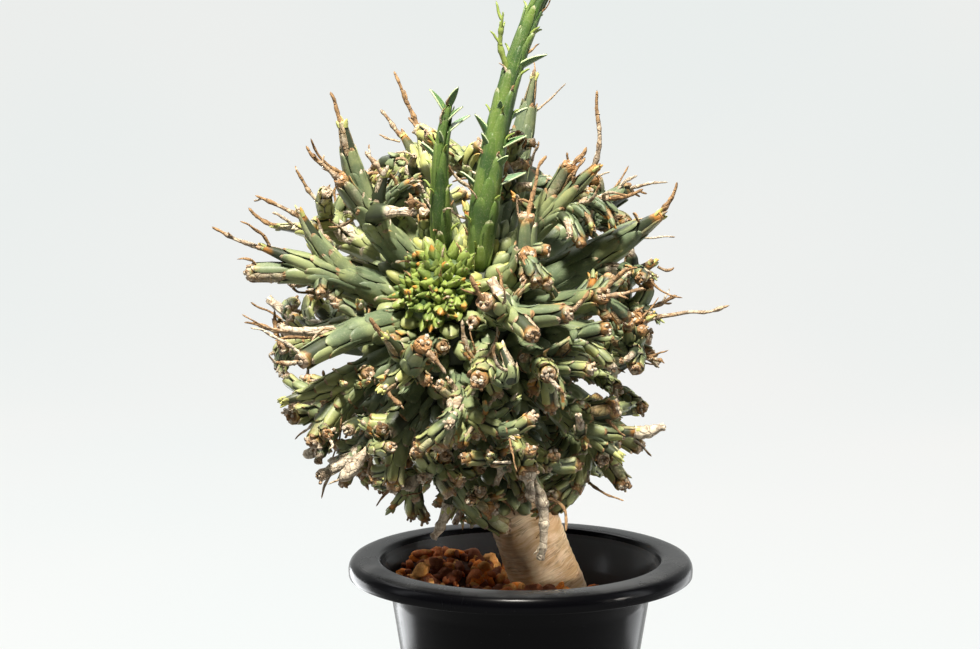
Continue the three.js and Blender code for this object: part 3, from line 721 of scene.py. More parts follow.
def grid_faces(rows: int, columns: int, closed: bool = True) -> Array:
    """The four-cornered faces of a closed tube's rings, or of an open sheet.

    Args:
        rows: How many rings or rows of points it has.
        columns: How many points each has.
        closed: Whether the rows are rings.

    Returns:
        The faces.
    """
    steps = np.arange(columns if closed else columns - 1)
    row, column = np.meshgrid(np.arange(rows - 1), steps, indexing="ij")
    after = (column + 1) % columns
    corners = [row * columns + column, row * columns + after]
    corners += [(row + 1) * columns + after, (row + 1) * columns + column]
    return np.stack(corners, axis=-1).reshape(-1, 4)


def transport(centres: Array) -> tuple[Array, Array, Array]:
    """Directions along and across a course that turn as little as they can.

    Args:
        centres: Points of the course.

    Returns:
        The directions along it, and two directions across it, at each point.
    """
    along = np.gradient(centres, axis=0)
    along /= np.linalg.norm(along, axis=1)[:, None]
    across = np.empty_like(along)
    across[0] = square_to(along[0])
    for i in range(1, len(along)):
        kept = across[i - 1] - along[i] * float(np.dot(across[i - 1], along[i]))
        across[i] = kept / np.linalg.norm(kept)
    return along, across, np.cross(along, across)


@dataclass
class Tube:
    """A round sweep along a course, with room for relief on its skin."""

    centres: Array
    radii: Array
    columns: int

    def __post_init__(self) -> None:
        """Finds the directions along and across the course."""
        self.along, self.normal, self.binormal = transport(self.centres)
        runs = np.linalg.norm(np.diff(self.centres, axis=0), axis=1)
        self.stations = np.concatenate([[0], np.cumsum(runs)])
        self.turns = np.arange(self.columns) / self.columns
        angle = (self.turns * 2 * math.pi)[:, None]
        self.radial = self.normal[:, None, :] * np.cos(angle) + self.binormal[:, None, :] * np.sin(angle)

    def patch(
        self,
        outward: Array | float = 0.0,
        forward: Array | float = 0.0,
        marks: Optional[dict[str, Array | float]] = None,
    ) -> Patch:
        """The sweep as a patch.

        Args:
            outward: How far each point stands out beyond its radius.
            forward: How far each point is shifted along the course.
            marks: Marks by ring and column, by ring, or the same all over.

        Returns:
            The patch.
        """
        shape = (len(self.centres), self.columns)
        reach = np.maximum(self.radii[:, None] + np.broadcast_to(outward, shape), 0.02)
        points = self.centres[:, None, :] + self.radial * reach[..., None]
        points = points + self.along[:, None, :] * np.broadcast_to(forward, shape)[..., None]
        spread = {}
        for name, value in (marks or {}).items():
            value = np.asarray(value, float)
            value = value[:, None] if value.ndim == 1 else value
            spread[name] = np.broadcast_to(value, shape).reshape(-1)
        return Patch(points.reshape(-1, 3), grid_faces(*shape), spread)


def many_tubes(points: Array, marks: dict[str, Array]) -> Patch:
    """Many short tubes of the same make as one patch.

    Args:
        points: Their points by tube, ring and column.
        marks: Their marks, which spread over tube, ring and column.

    Returns:
        The patch.
    """
    shape = points.shape[:3]
    shift = (np.arange(shape[0]) * shape[1] * shape[2])[:, None, None]
    faces = (grid_faces(*shape[1:]) + shift).reshape(-1, 4)
    spread = {name: np.broadcast_to(value, shape).reshape(-1) for name, value in marks.items()}
    return Patch(points.reshape(-1, 3), faces, spread)


@dataclass(frozen=True)
class Tubercles:
    """The long tubercles that tile a limb in staggered rows, each with a free tip."""

    columns: int = 5
    spacing: float = 7.5
    overlap: float = 1.15
    fatness: float = 1.12
    depth: float = 0.6
    stand: float = 0.9
    free: float = 2.4
    lift: float = 0.8
    sides: int = 6
    rings: int = 8

    def spots(self, first: float, last: float, draw: SeededDraw) -> Array:
        """Where the tips stand along a limb and around it.

        Args:
            first: The station of the first row.
            last: The station of the last row.
            draw: The draw that shifts them.

        Returns:
            Station and turn of each tip.
        """
        spots = []
        twist, start = draw.between(0.35, 0.65), draw()
        rows = max(1, round((last - first) / self.spacing))
        for row in range(rows + 1):
            station = first + row * (last - first) / rows
            for column in range(self.columns):
                turn = (column + twist * row + start + draw.between(-0.09, 0.09)) / self.columns
                spots.append((station + draw.between(-0.15, 0.12) * self.spacing, turn % 1))
        return np.array(spots)

    def patch(self, tube: Tube, spots: Array, grow: Array, marks: dict[str, Array]) -> Patch:
        """The tubercles at some spots of a limb.

        Args:
            tube: The limb's core.
            spots: Station and turn of each tip.
            grow: The size of each, from 0 to 1.
            marks: Marks of each; young, wear and rust grow to its tip.

        Returns:
            One patch with all of them.
        """
        u = np.array([0.0, 0.14, 0.34, 0.56, 0.78, 0.9, 0.97, 1.0])
        wide = np.array([0.1, 0.5, 0.84, 1.0, 1.0, 0.8, 0.5, 0.14])
        if self.rings < len(u):
            u, wide = np.delete(u, (1, 6)), np.delete(wide, (1, 6))
        draws = np.stack([hashed(spots[:, 0] * (k + 1.3), spots[:, 1] * 7.7) for k in range(4)], axis=1)
        length = 2 * self.spacing * self.overlap * (0.5 + 0.5 * grow) * (0.85 + 0.3 * draws[:, 0])
        station = spots[:, :1] + (0.4 + 0.6 * draws[:, 1:2]) * self.free - length[:, None] * (1 - u)
        station = np.maximum(station, 0)
        inside = np.minimum(station, tube.stations[-1])
        frames = [
            np.stack([np.interp(inside, tube.stations, line[:, k]) for k in range(3)], axis=-1)
            for line in (tube.centres, tube.along, tube.normal, tube.binormal)
        ]
        centre, along, normal, binormal = frames
        centre = centre + along * (station - inside)[..., None]
        angle = (spots[:, 1:] + 0.035 * (draws[:, 2:3] - 0.5) * (1 - u)) * 2 * math.pi
        radial = normal * np.cos(angle)[..., None] + binormal * np.sin(angle)[..., None]
        tangent = np.cross(along, radial)
        core = np.interp(inside, tube.stations, tube.radii)
        half = math.pi * (core + self.stand) / self.columns * self.fatness * wide
        half = np.minimum(half, 0.24 * length[:, None]) * (0.55 + 0.45 * grow)[:, None]
        thick = half * self.depth
        near_tip = np.clip((u - 0.8) / 0.2, 0, 1) ** 1.3
        lift = self.lift * self.free * (0.35 + 1.1 * draws[:, 3:4]) * near_tip
        rise = core - 0.35 + self.stand * smooth(0, 0.5, u) + lift * grow[:, None]
        spine = centre + radial * rise[..., None]
        spine = spine + tangent * ((draws[:, 2:3] - 0.5) * near_tip)[..., None]
        turn = (np.arange(self.sides) + 0.5) / self.sides * 2 * math.pi
        cos, sin = np.cos(turn), np.sin(turn)
        points = spine[:, :, None, :] + tangent[:, :, None, :] * (half[..., None] * cos)[..., None]
        points = points + radial[:, :, None, :] * (thick[..., None] * sin)[..., None]
        tip = smooth(0.86, 1.0, u)
        growth = {"young": 0.35 + 0.65 * u, "wear": tip, "rust": u**2}
        # Painted shade: each tubercle's underside, which faces the core, is marked dark, less so towards
        # its free tip.
        spread = {"groove_shade": smooth(0.75, -0.3, sin) * (1 - 0.8 * tip)[:, None]}
        for name, value in marks.items():
            spread[name] = value[:, None, None] * growth.get(name, np.ones(len(u)))[:, None]
        if "dead" in spread:
            spread["wear"] = np.maximum(spread["wear"], spread.pop("dead"))
        return many_tubes(points, spread)


def peg_patch(
    base: Array,
    heading: Array,
    bend: Array,
    length: Array,
    radius: Array,
    marks: dict[str, Array],
    pointed: bool = False,
) -> Patch:
    """Many short pegs at once, each with a blunt, slightly swollen end or a point.

    Args:
        base: Where each stands.
        heading: Where each points.
        bend: How far each one's end is pulled aside.
        length: How long each is.
        radius: How thick each is.
        marks: Marks of each peg; wear grows to its end.
        pointed: Whether they are pointed.

    Returns:
        One patch with all pegs.
    """
    along = np.array([0, 0.45, 0.86, 1.0, 0.93])
    width = np.array([1.35, 0.92, 1.02, 0.66, 0.04])
    if pointed:
        along = np.array([0, 0.4, 0.75, 0.93, 1.0])
        width = np.array([1.3, 1.1, 0.72, 0.32, 0.04])
    count, rows, columns = len(base), len(along), 5
    turn = (np.arange(columns) / columns * 2 * math.pi)[:, None]
    helper = np.where(np.abs(heading[:, 2:3]) < 0.9, [[0, 0, 1.0]], [[1.0, 0, 0]])
    side = np.cross(heading, helper)
    side /= np.linalg.norm(side, axis=1)[:, None]
    other = np.cross(heading, side)
    ring = side[:, None, None, :] * np.cos(turn) + other[:, None, None, :] * np.sin(turn)
    spine = base[:, None, :] + heading[:, None, :] * (along[:, None] * length[:, None, None])
    spine = spine + bend[:, None, :] * (along**2)[:, None]
    lumps = 1 + 0.22 * (hashed(np.arange(count * rows * columns)) - 0.5).reshape(count, rows, columns)
    reach = width[:, None] * radius[:, None, None] * lumps
    points = spine[:, :, None, :] + ring * reach[..., None]
    spread = {}
    for name, value in marks.items():
        grown = np.array([0.25, 0.7, 1, 1, 1]) if name in ("wear", "rust") else np.ones(rows)
        spread[name] = value[:, None, None] * grown[:, None]
    return many_tubes(points, spread)


def lathe_patch(profile: Array, columns: int) -> Patch:
    """A profile of radii and heights turned about the upright axis.

    Args:
        profile: Radii and heights in order.
        columns: How many columns go round.

    Returns:
        The patch.
    """
    turn = np.arange(columns) / columns * 2 * math.pi
    x, y = profile[:, :1] * np.cos(turn), profile[:, :1] * np.sin(turn)
    points = np.stack([x, y, np.broadcast_to(profile[:, 1:], x.shape)], axis=-1)
    return Patch(points.reshape(-1, 3), grid_faces(len(profile), columns))


def ball_points(level: int) -> tuple[Array, Array]:
    """The points and faces of a finely divided ball of radius one.

    Args:
        level: How many times its faces are divided.

    Returns:
        Points and three-cornered faces.
    """
    shape = bmesh.new()
    bmesh.ops.create_icosphere(shape, subdivisions=level, radius=1)
    points = np.array([vertex.co[:] for vertex in shape.verts])
    faces = np.array([[vertex.index for vertex in face.verts] for face in shape.faces])
    shape.free()
    return points, faces


def build_piece(
    name: str, patches: Sequence[Patch], material: Material, origin: Point = np.zeros(3)
) -> bpy.types.Object:
    """Joins patches into one mesh object in metres.

    Args:
        name: The piece's name.
        patches: Its patches.
        material: Its finish.
        origin: Where the patches' own origin lies.

    Returns:
        The object.
    """
    counts = [len(patch.points) for patch in patches]
    offsets = np.cumsum([0, *counts])
    corners = np.concatenate([(p.faces + offset).reshape(-1) for p, offset in zip(patches, offsets)])
    totals = np.concatenate([np.full(len(patch.faces), patch.faces.shape[1]) for patch in patches])
    starts = np.concatenate([[0], np.cumsum(totals)[:-1]])
    points = (np.vstack([patch.points for patch in patches]) + origin) * MILLIMETRE
    mesh = bpy.data.meshes.new(name)
    mesh.vertices.add(len(points))
    mesh.vertices.foreach_set("co", points.astype(np.float32).reshape(-1))
    mesh.loops.add(len(corners))
    mesh.loops.foreach_set("vertex_index", corners.astype(np.int32))
    mesh.polygons.add(len(totals))
    mesh.polygons.foreach_set("loop_start", starts.astype(np.int32))
    mesh.polygons.foreach_set("loop_total", totals.astype(np.int32))
    for mark in MARKS:
        values = [np.broadcast_to(p.marks.get(mark, 0.0), (n,)) for p, n in zip(patches, counts)]
        layer = mesh.attributes.new(mark, "FLOAT", "POINT")
        layer.data.foreach_set("value", np.concatenate(values).astype(np.float32))
    mesh.update()
    mesh.validate()
    mesh.shade_smooth()
    mesh.materials.append(material)
    piece = bpy.data.objects.new(name, mesh)
    bpy.context.scene.collection.objects.link(piece)
    return piece


def hand_over(piece: bpy.types.Object, slot: Slot, *nodes: str) -> None:
    """Rides a piece on the plant's one body, in place of the solids that it stands for.

    Args:
        piece: The piece.
        slot: Not used.
        nodes: The solids that it replaces.
    """
    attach(piece, "root")
    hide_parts(*nodes)
    log.info("%s: %d faces", piece.name, len(piece.data.polygons))


# Finishes


def shade(red: int, green: int, blue: int) -> Colour:
    """A screen colour from 0 to 255 as a linear colour."""
    parts = [channel / 255 for channel in (red, green, blue)]
    linear = [p / 12.92 if p <= 0.04045 else ((p + 0.055) / 1.055) ** 2.4 for p in parts]
    return (*linear, 1.0)


class NodeMaker:
    """Adds nodes to one tree with few words."""

    def __init__(self, tree: Tree) -> None:
        """Takes a material's or a group's node tree."""
        self.tree = tree

    def add(self, kind: str, **settings: object) -> Node:
        """A new shader node of a kind, with some of its settings."""
        node = self.tree.nodes.new(f"ShaderNode{kind}")
        for name, value in settings.items():
            setattr(node, name, value)
        return node

    def put(self, socket: Socket, value: object) -> None:
        """Links a socket into an input, or sets the input's value."""
        if isinstance(value, Socket):
            self.tree.links.new(value, socket)
        else:
            socket.default_value = value

    def fill(self, node: Node, **values: object) -> Node:
        """Puts values into inputs of a node, named with _ for a blank."""
        for name, value in values.items():
            self.put(node.inputs[name.replace("_", " ")], value)
        return node

    def maths(self, operation: str, a: object, b: object = 0.0, clamp: bool = False) -> Socket:
        """One operation on two numbers."""
        node = self.add("Math", operation=operation, use_clamp=clamp)
        self.put(node.inputs[0], a)
        self.put(node.inputs[1], b)
        return node.outputs[0]

    def times(self, a: object, b: object) -> Socket:
        """A product."""
        return self.maths("MULTIPLY", a, b)

    def plus(self, a: object, b: object) -> Socket:
        """A sum."""
        return self.maths("ADD", a, b)

    def less(self, a: object, b: object) -> Socket:
        """A difference."""
        return self.maths("SUBTRACT", a, b)

    def step(self, value: object, low: float, high: float) -> Socket:
        """A soft step of a number from 0 at low to 1 at high."""
        node = self.add("MapRange", interpolation_type="SMOOTHSTEP")
        return self.fill(node, Value=value, From_Min=low, From_Max=high).outputs["Result"]

    def mix(self, factor: object, a: object, b: object) -> Socket:
        """A mix of two colours."""
        node = self.add("Mix", data_type="RGBA")
        self.put(node.inputs["Factor"], factor)
        self.put(node.inputs[6], a)
        self.put(node.inputs[7], b)
        return node.outputs[2]

    def noise(self, scale: object, detail: float = 4, rough: float = 0.55, at: object = None) -> Socket:
        """Cloudy noise over the surface."""
        node = self.add("TexNoise")
        self.fill(node, Scale=scale, Detail=detail, Roughness=rough, Vector=at or self.place())
        return node.outputs["Fac"]

    def place(self) -> Socket:
        """The place on the object."""
        return self.add("TexCoord").outputs["Object"]

    def parts(self, vector: Socket) -> list[Socket]:
        """The three parts of a vector."""
        return list(self.fill(self.add("SeparateXYZ"), Vector=vector).outputs)

    def mark(self, name: str) -> Socket:
        """A mark of the mesh."""
        return self.add("Attribute", attribute_name=name).outputs["Fac"]

    def bump(self, height: Socket, strength: float, distance: float, *under: Socket) -> Socket:
        """A normal with relief, laid over another where one is given."""
        node = self.fill(self.add("Bump"), Strength=strength, Distance=distance, Height=height)
        for normal in under:
            self.put(node.inputs["Normal"], normal)
        return node.outputs["Normal"]

    def effect(self, group: Tree, **values: object) -> list[Socket]:
        """The outputs of a shared effect."""
        return list(self.fill(self.add("Group", node_tree=group), **values).outputs)


class Effect:
    """A shader node group that several finishes share."""

    def __init__(self, name: str, inputs: dict[str, object], outputs: Sequence[str]) -> None:
        """Starts the group.

        Args:
            name: The group's name.
            inputs: The usual value of each input, or None for a vector.
            outputs: The name of each output.
        """
        self.group = bpy.data.node_groups.new(name, "ShaderNodeTree")
        for label, value in inputs.items():
            kind = "NodeSocketVector" if value is None else "NodeSocketFloat"
            socket = self.group.interface.new_socket(label, in_out="INPUT", socket_type=kind)
            if value is not None:
                socket.default_value = value
        for label in outputs:
            self.group.interface.new_socket(label, in_out="OUTPUT", socket_type="NodeSocketFloat")
        self.make = NodeMaker(self.group)
        self.come = self.group.nodes.new("NodeGroupInput").outputs
        self.go = self.group.nodes.new("NodeGroupOutput").inputs


@dataclass
class Effects:
    """The shared effects, each built once."""

    clouds: Optional[Tree] = None
    grain: Optional[Tree] = None
    dust_and_sheen: Optional[Tree] = None

    def build(self) -> "Effects":
        """Builds every effect."""
        self.clouds = self.build_clouds()
        self.grain = self.build_grain()
        self.dust_and_sheen = self.build_dust_and_sheen()
        return self

    @staticmethod
    def build_clouds() -> Tree:
        """Broad cloudy patches and fine speckles."""
        effect = Effect("Clouds and speckles", {"Broad": 60, "Fine": 900}, ("Clouds", "Speckles"))
        make, place = effect.make, effect.make.place()
        broad = make.noise(effect.come["Broad"], 3, 0.5, place)
        fine = make.noise(effect.come["Fine"], 5, 0.7, place)
        make.put(effect.go["Clouds"], make.step(broad, 0.35, 0.65))
        make.put(effect.go["Speckles"], make.step(fine, 0.5, 0.72))
        return effect.group

    @staticmethod
    def build_grain() -> Tree:
        """The wrinkles, cracks and pits of dead skin and bark; its Shade is painted shade, darker in the
        troughs and the cracks.
        """
        inputs = {"Vector": None, "Scale": 300, "Cracks": 0.5}
        effect = Effect("Wrinkled grain", inputs, ("Shade", "Height"))
        make, come = effect.make, effect.come
        wrinkles = make.fill(make.add("TexNoise"), Detail=5, Roughness=0.62, Distortion=0.6)
        flakes = make.add("TexVoronoi", feature="DISTANCE_TO_EDGE")
        for node, ratio in ((wrinkles, 1.0), (flakes, 0.6)):
            make.fill(node, Vector=come["Vector"], Scale=make.times(come["Scale"], ratio))
        edge = make.less(1.0, make.step(flakes.outputs["Distance"], 0.0, 0.1))
        cracks = make.times(edge, come["Cracks"])
        ridges = make.step(wrinkles.outputs["Fac"], 0.34, 0.64)
        make.put(effect.go["Shade"], make.maths("SUBTRACT", ridges, cracks, True))
        make.put(effect.go["Height"], make.less(wrinkles.outputs["Fac"], cracks))
        return effect.group

    @staticmethod
    def build_dust_and_sheen() -> Tree:
        """Dust that lies on what faces up, thicker in patches; it also stands for a painted sheen on the
        pot's lip.
        """
        effect = Effect("Settled dust", {"Amount": 0.5, "Patches": 40}, ("Dust and sheen",))
        make, come = effect.make, effect.come
        up = make.step(make.parts(make.add("NewGeometry").outputs["Normal"])[2], 0.75, 1.0)
        thick = make.step(make.noise(come["Patches"], 6, 0.68), 0.34, 0.72)
        lying = make.times(up, make.plus(thick, 0.25))
        make.put(effect.go["Dust and sheen"], make.maths("MULTIPLY", lying, come["Amount"], True))
        return effect.group


@dataclass(frozen=True)
class Finish:
    """A procedural material; each kind of finish fills in its own nodes."""

    name: str

    def build(self, effects: Effects) -> Material:
        """Builds the material.

        Args:
            effects: The shared effects.

        Returns:
            The material.
        """
        material = bpy.data.materials.new(self.name)
        material.use_nodes = True
        tree = material.node_tree
        self.dress(NodeMaker(tree), tree.nodes["Principled BSDF"], effects)
        return material

    def dress(self, make: NodeMaker, shader: Node, effects: Effects) -> None:
        """Fills in the nodes of the material.

        Args:
            make: The maker of its nodes.
            shader: Its shader.
            effects: The shared effects.
        """
        raise NotImplementedError


@dataclass(frozen=True)
class SkinFinish(Finish):
    """The tubercled skin of stems and shoots, with rusty, young and dead patches."""

    plain: Colour = shade(134, 146, 106)
    # A darker green: the skin's own darker tone and, where the zones' painted shading pushes it, painted
    # shade.
    dusky: Colour = shade(90, 104, 76)
    young: Colour = shade(180, 180, 104)
    # Painted shade: the almost black colour of the grooves between the tubercles.
    groove_shade: Colour = shade(30, 36, 22)
    scar: Colour = shade(214, 200, 168)
    rust: Colour = shade(202, 134, 60)
    dead_pale: Colour = shade(218, 204, 180)
    dead_dark: Colour = shade(164, 130, 90)
    # Painted shade in the cracks and troughs of dead skin.
    dead_crack_shade: Colour = shade(74, 52, 36)
    roughness: float = 0.5

    def dress(self, make: NodeMaker, shader: Node, effects: Effects) -> None:
        """Mixes green, young, rusty and dead skin by the marks of the mesh, with painted shade in the
        grooves, in the cracks of dead skin and in the darker zones of the crown.
        """
        wear, rust, young, tone, groove_shade = (make.mark(mark) for mark in MARKS)
        clouds, speckles = make.effect(effects.clouds, Broad=70.0, Fine=1300.0)
        grain_shade, height = make.effect(effects.grain, Vector=make.place(), Scale=420.0, Cracks=0.5)
        # The tone, lowered or raised by the zones' painted shading, picks between the darker and the plain
        # green.
        cover = make.plus(clouds, make.times(tone, 0.9))
        green = make.mix(make.step(cover, 0.2, 1.6), self.dusky, self.plain)
        ripe = make.plus(young, make.times(clouds, 0.2))
        green = make.mix(make.step(ripe, 0.2, 1.1), green, self.young)
        green = make.mix(make.times(speckles, 0.18), green, self.scar)
        # Painted shade: the groove mark, frayed by noise, darkens the grooves between the tubercles.
        waver = make.times(make.less(make.noise(300, 3), 0.5), 0.5)
        cut = make.step(make.plus(groove_shade, waver), 0.42, 0.72)
        green = make.mix(make.times(cut, 0.85), green, self.groove_shade)
        patchy = make.noise(170, 5, 0.7)
        rusty = make.step(make.plus(rust, make.times(patchy, 0.9)), 0.74, 1.2)
        green = make.mix(make.times(rusty, 0.8), green, self.rust)
        bleach = make.plus(make.noise(240, 6, 0.75), make.times(tone, 0.55))
        dead = make.mix(make.step(bleach, 0.5, 0.95), self.dead_dark, self.dead_pale)
        dead = make.mix(make.times(rusty, 0.55), dead, self.rust)
        # Painted shade: the troughs and cracks of dead skin are darkened to a deep brown.
        dead = make.mix(make.times(make.less(1.0, grain_shade), 0.62), dead, self.dead_crack_shade)
        gone = make.step(make.plus(wear, make.times(patchy, 0.5)), 0.55, 0.95)
        rough = make.plus(make.times(gone, 0.35), self.roughness)
        relief = make.bump(make.times(height, gone), 0.8, 0.0007)
        make.fill(
            shader,
            Base_Color=make.mix(gone, green, dead),
            Roughness=make.less(rough, make.times(clouds, 0.08)),
            Normal=make.bump(make.noise(650, 4, 0.65), 0.2, 0.0005, relief),
            Specular_IOR_Level=0.35,
        )


@dataclass(frozen=True)
class BarkFinish(Finish):
    """The pale trunk's finely wrinkled bark."""

    pale: Colour = shade(248, 228, 194)
    dark: Colour = shade(194, 156, 110)
    scar: Colour = shade(136, 114, 88)
    crease: Colour = shade(122, 92, 60)

    def dress(self, make: NodeMaker, shader: Node, effects: Effects) -> None:
        """Draws the grain out along wandering slanted lines, with thin brown creases."""
        slope = make.add("Mapping", vector_type="TEXTURE")
        slant, stretch = (0.1, -0.38, 0.0), (9.0, 9.0, 1.0)
        make.fill(slope, Vector=make.place(), Rotation=slant, Scale=stretch)
        wander = make.less(make.noise(38, 2, 0.4), 0.5)
        drift = make.fill(make.add("CombineXYZ"), Z=make.times(wander, 0.014))
        curved = make.add("VectorMath", operation="ADD")
        make.put(curved.inputs[0], slope.outputs[0])
        make.put(curved.inputs[1], drift.outputs[0])
        lines = curved.outputs[0]
        fine, fine_height = make.effect(effects.grain, Vector=lines, Scale=1000.0, Cracks=0.0)
        broad, broad_height = make.effect(effects.grain, Vector=lines, Scale=330.0, Cracks=0.0)
        clouds, _ = make.effect(effects.clouds, Broad=70.0, Fine=600.0)
        # The grain's shade paints the troughs of the wrinkles darker as painted shade, and the clouds add
        # the bark's own patchy tone.
        light = make.plus(make.times(fine, 0.25), make.times(broad, 0.25))
        light = make.plus(light, make.times(clouds, 0.4))
        colour = make.mix(make.step(light, 0.05, 1.0), self.dark, self.pale)
        spots = make.step(make.noise(95, 5, 0.6), 0.6, 0.72)
        colour = make.mix(make.times(spots, 0.22), colour, self.scar)
        level = make.maths("ABSOLUTE", make.less(make.noise(430, 3, 0.5, lines), 0.5))
        crease = make.less(1.0, make.step(level, 0.0, 0.04))
        crease = make.times(crease, make.step(make.noise(120, 3), 0.35, 0.6))
        relief = make.bump(make.less(broad_height, crease), 0.32, 0.001)
        make.fill(
            shader,
            Base_Color=make.mix(make.times(crease, 0.5), colour, self.crease),
            Roughness=make.less(0.82, make.times(clouds, 0.15)),
            Normal=make.bump(fine_height, 0.2, 0.0004, relief),
            Specular_IOR_Level=0.3,
        )


@dataclass(frozen=True)
class GravelFinish(Finish):
    """Red-brown and orange gravel, each stone with its own tone."""

    # Painted shade: the dark colour of the bed between the stones; dark pits mix half towards it.
    bed: Colour = shade(62, 38, 27)
    brown: Colour = shade(126, 74, 50)
    red: Colour = shade(188, 106, 60)
    ochre: Colour = shade(204, 146, 82)
    orange: Colour = shade(226, 128, 48)
    pale: Colour = shade(220, 178, 122)

    def dress(self, make: NodeMaker, shader: Node, effects: Effects) -> None:
        """Steps from tone to tone, with pale specks and dark pits."""
        tone = make.mark("tone")
        clouds, speckles = make.effect(effects.clouds, Broad=220.0, Fine=1500.0)
        stone = make.plus(tone, make.times(clouds, 0.12))
        # A low tone gives the bed its painted shade.
        colour = make.mix(make.step(stone, -0.5, 0.1), self.bed, self.brown)
        steps = ((0.3, 0.45, self.red), (0.6, 0.68, self.ochre), (0.84, 0.9, self.orange))
        for low, high, next_colour in steps:
            colour = make.mix(make.step(stone, low, high), colour, next_colour)
        specks = make.times(speckles, make.step(tone, -0.2, 0.8))
        colour = make.mix(make.times(specks, 0.5), colour, self.pale)
        pits = make.step(make.noise(900, 5, 0.7), 0.3, 0.48)
        relief = make.bump(make.noise(520, 7, 0.72), 0.75, 0.0009)
        make.fill(
            shader,
            Base_Color=make.mix(pits, make.mix(0.5, colour, self.bed), colour),
            Roughness=make.less(0.95, make.times(clouds, 0.1)),
            Normal=make.bump(make.noise(2400, 4, 0.7), 0.4, 0.0003, relief),
            Specular_IOR_Level=0.2,
        )


@dataclass(frozen=True)
class PotFinish(Finish):
    """Glossy black moulded plastic with dust and a painted sheen on what faces up, and faint scuffs."""

    black: Colour = shade(5, 5, 7)
    dust_and_sheen: Colour = shade(148, 150, 152)

    def dress(self, make: NodeMaker, shader: Node, effects: Effects) -> None:
        """Lays dust with painted sheen, flecks and a paler film inside the wall over the black."""
        # Dust and painted sheen: what faces up, the lip's top most of all, is paled towards grey.
        dust_and_sheen = make.effect(effects.dust_and_sheen, Amount=0.12, Patches=24.0)[0]
        clouds, _ = make.effect(effects.clouds, Broad=16.0, Fine=2600.0)
        flecks = make.step(make.noise(1900, 2, 0.5), 0.74, 0.8)
        x, y, z = make.parts(make.place())
        flat = make.fill(make.add("CombineXYZ"), X=x, Y=y)
        wide = make.add("VectorMath", operation="LENGTH")
        make.put(wide.inputs[0], flat.outputs[0])
        wall = make.plus(make.times(z, 0.16), 0.0372)
        flare = make.plus(make.times(z, 0.333), 0.0174)
        inner = make.maths("MAXIMUM", wall, flare)
        inside = make.maths("LESS_THAN", wide.outputs["Value"], inner)
        haze = make.maths("ADD", dust_and_sheen, make.times(flecks, 0.2), True)
        haze = make.plus(haze, make.times(inside, 0.13))
        streaks = make.add("Mapping")
        make.fill(streaks, Vector=make.place(), Scale=(1.0, 1.0, 0.12))
        scuffs = make.step(make.noise(420, 3, 0.6, streaks.outputs[0]), 0.62, 0.78)
        rough = make.plus(make.times(clouds, 0.08), make.times(dust_and_sheen, 0.9))
        rough = make.plus(rough, make.times(scuffs, 0.1))
        relief = make.bump(make.noise(30, 2, 0.4), 0.12, 0.0012)
        make.fill(
            shader,
            Base_Color=make.mix(haze, self.black, self.dust_and_sheen),
            Roughness=make.maths("ADD", rough, 0.16, True),
            Normal=make.bump(make.noise(2600, 3, 0.6), 0.05, 0.0002, relief),
            Specular_IOR_Level=0.07,
        )


@dataclass(frozen=True)
class LeafFinish(Finish):
    """Bluish-green leaves with pale edges and a pale midrib."""

    blade: Colour = shade(62, 98, 66)
    young: Colour = shade(132, 168, 72)
    edge: Colour = shade(196, 206, 160)

    def dress(self, make: NodeMaker, shader: Node, effects: Effects) -> None:
        """Mixes old, young and edge colours by the marks of the mesh."""
        clouds, speckles = make.effect(effects.clouds, Broad=120.0, Fine=1400.0)
        edge = make.times(make.step(make.mark("tone"), 0.7, 1.0), 0.75)
        blade = make.mix(make.times(make.mark("young"), 0.5), self.blade, self.young)
        blade = make.mix(make.times(speckles, 0.2), blade, self.edge)
        make.fill(
            shader,
            Base_Color=make.mix(edge, blade, self.edge),
            Roughness=make.plus(make.times(clouds, 0.12), 0.4),
            Normal=make.bump(make.noise(800, 3), 0.15, 0.0003),
        )


# Pot and gravel


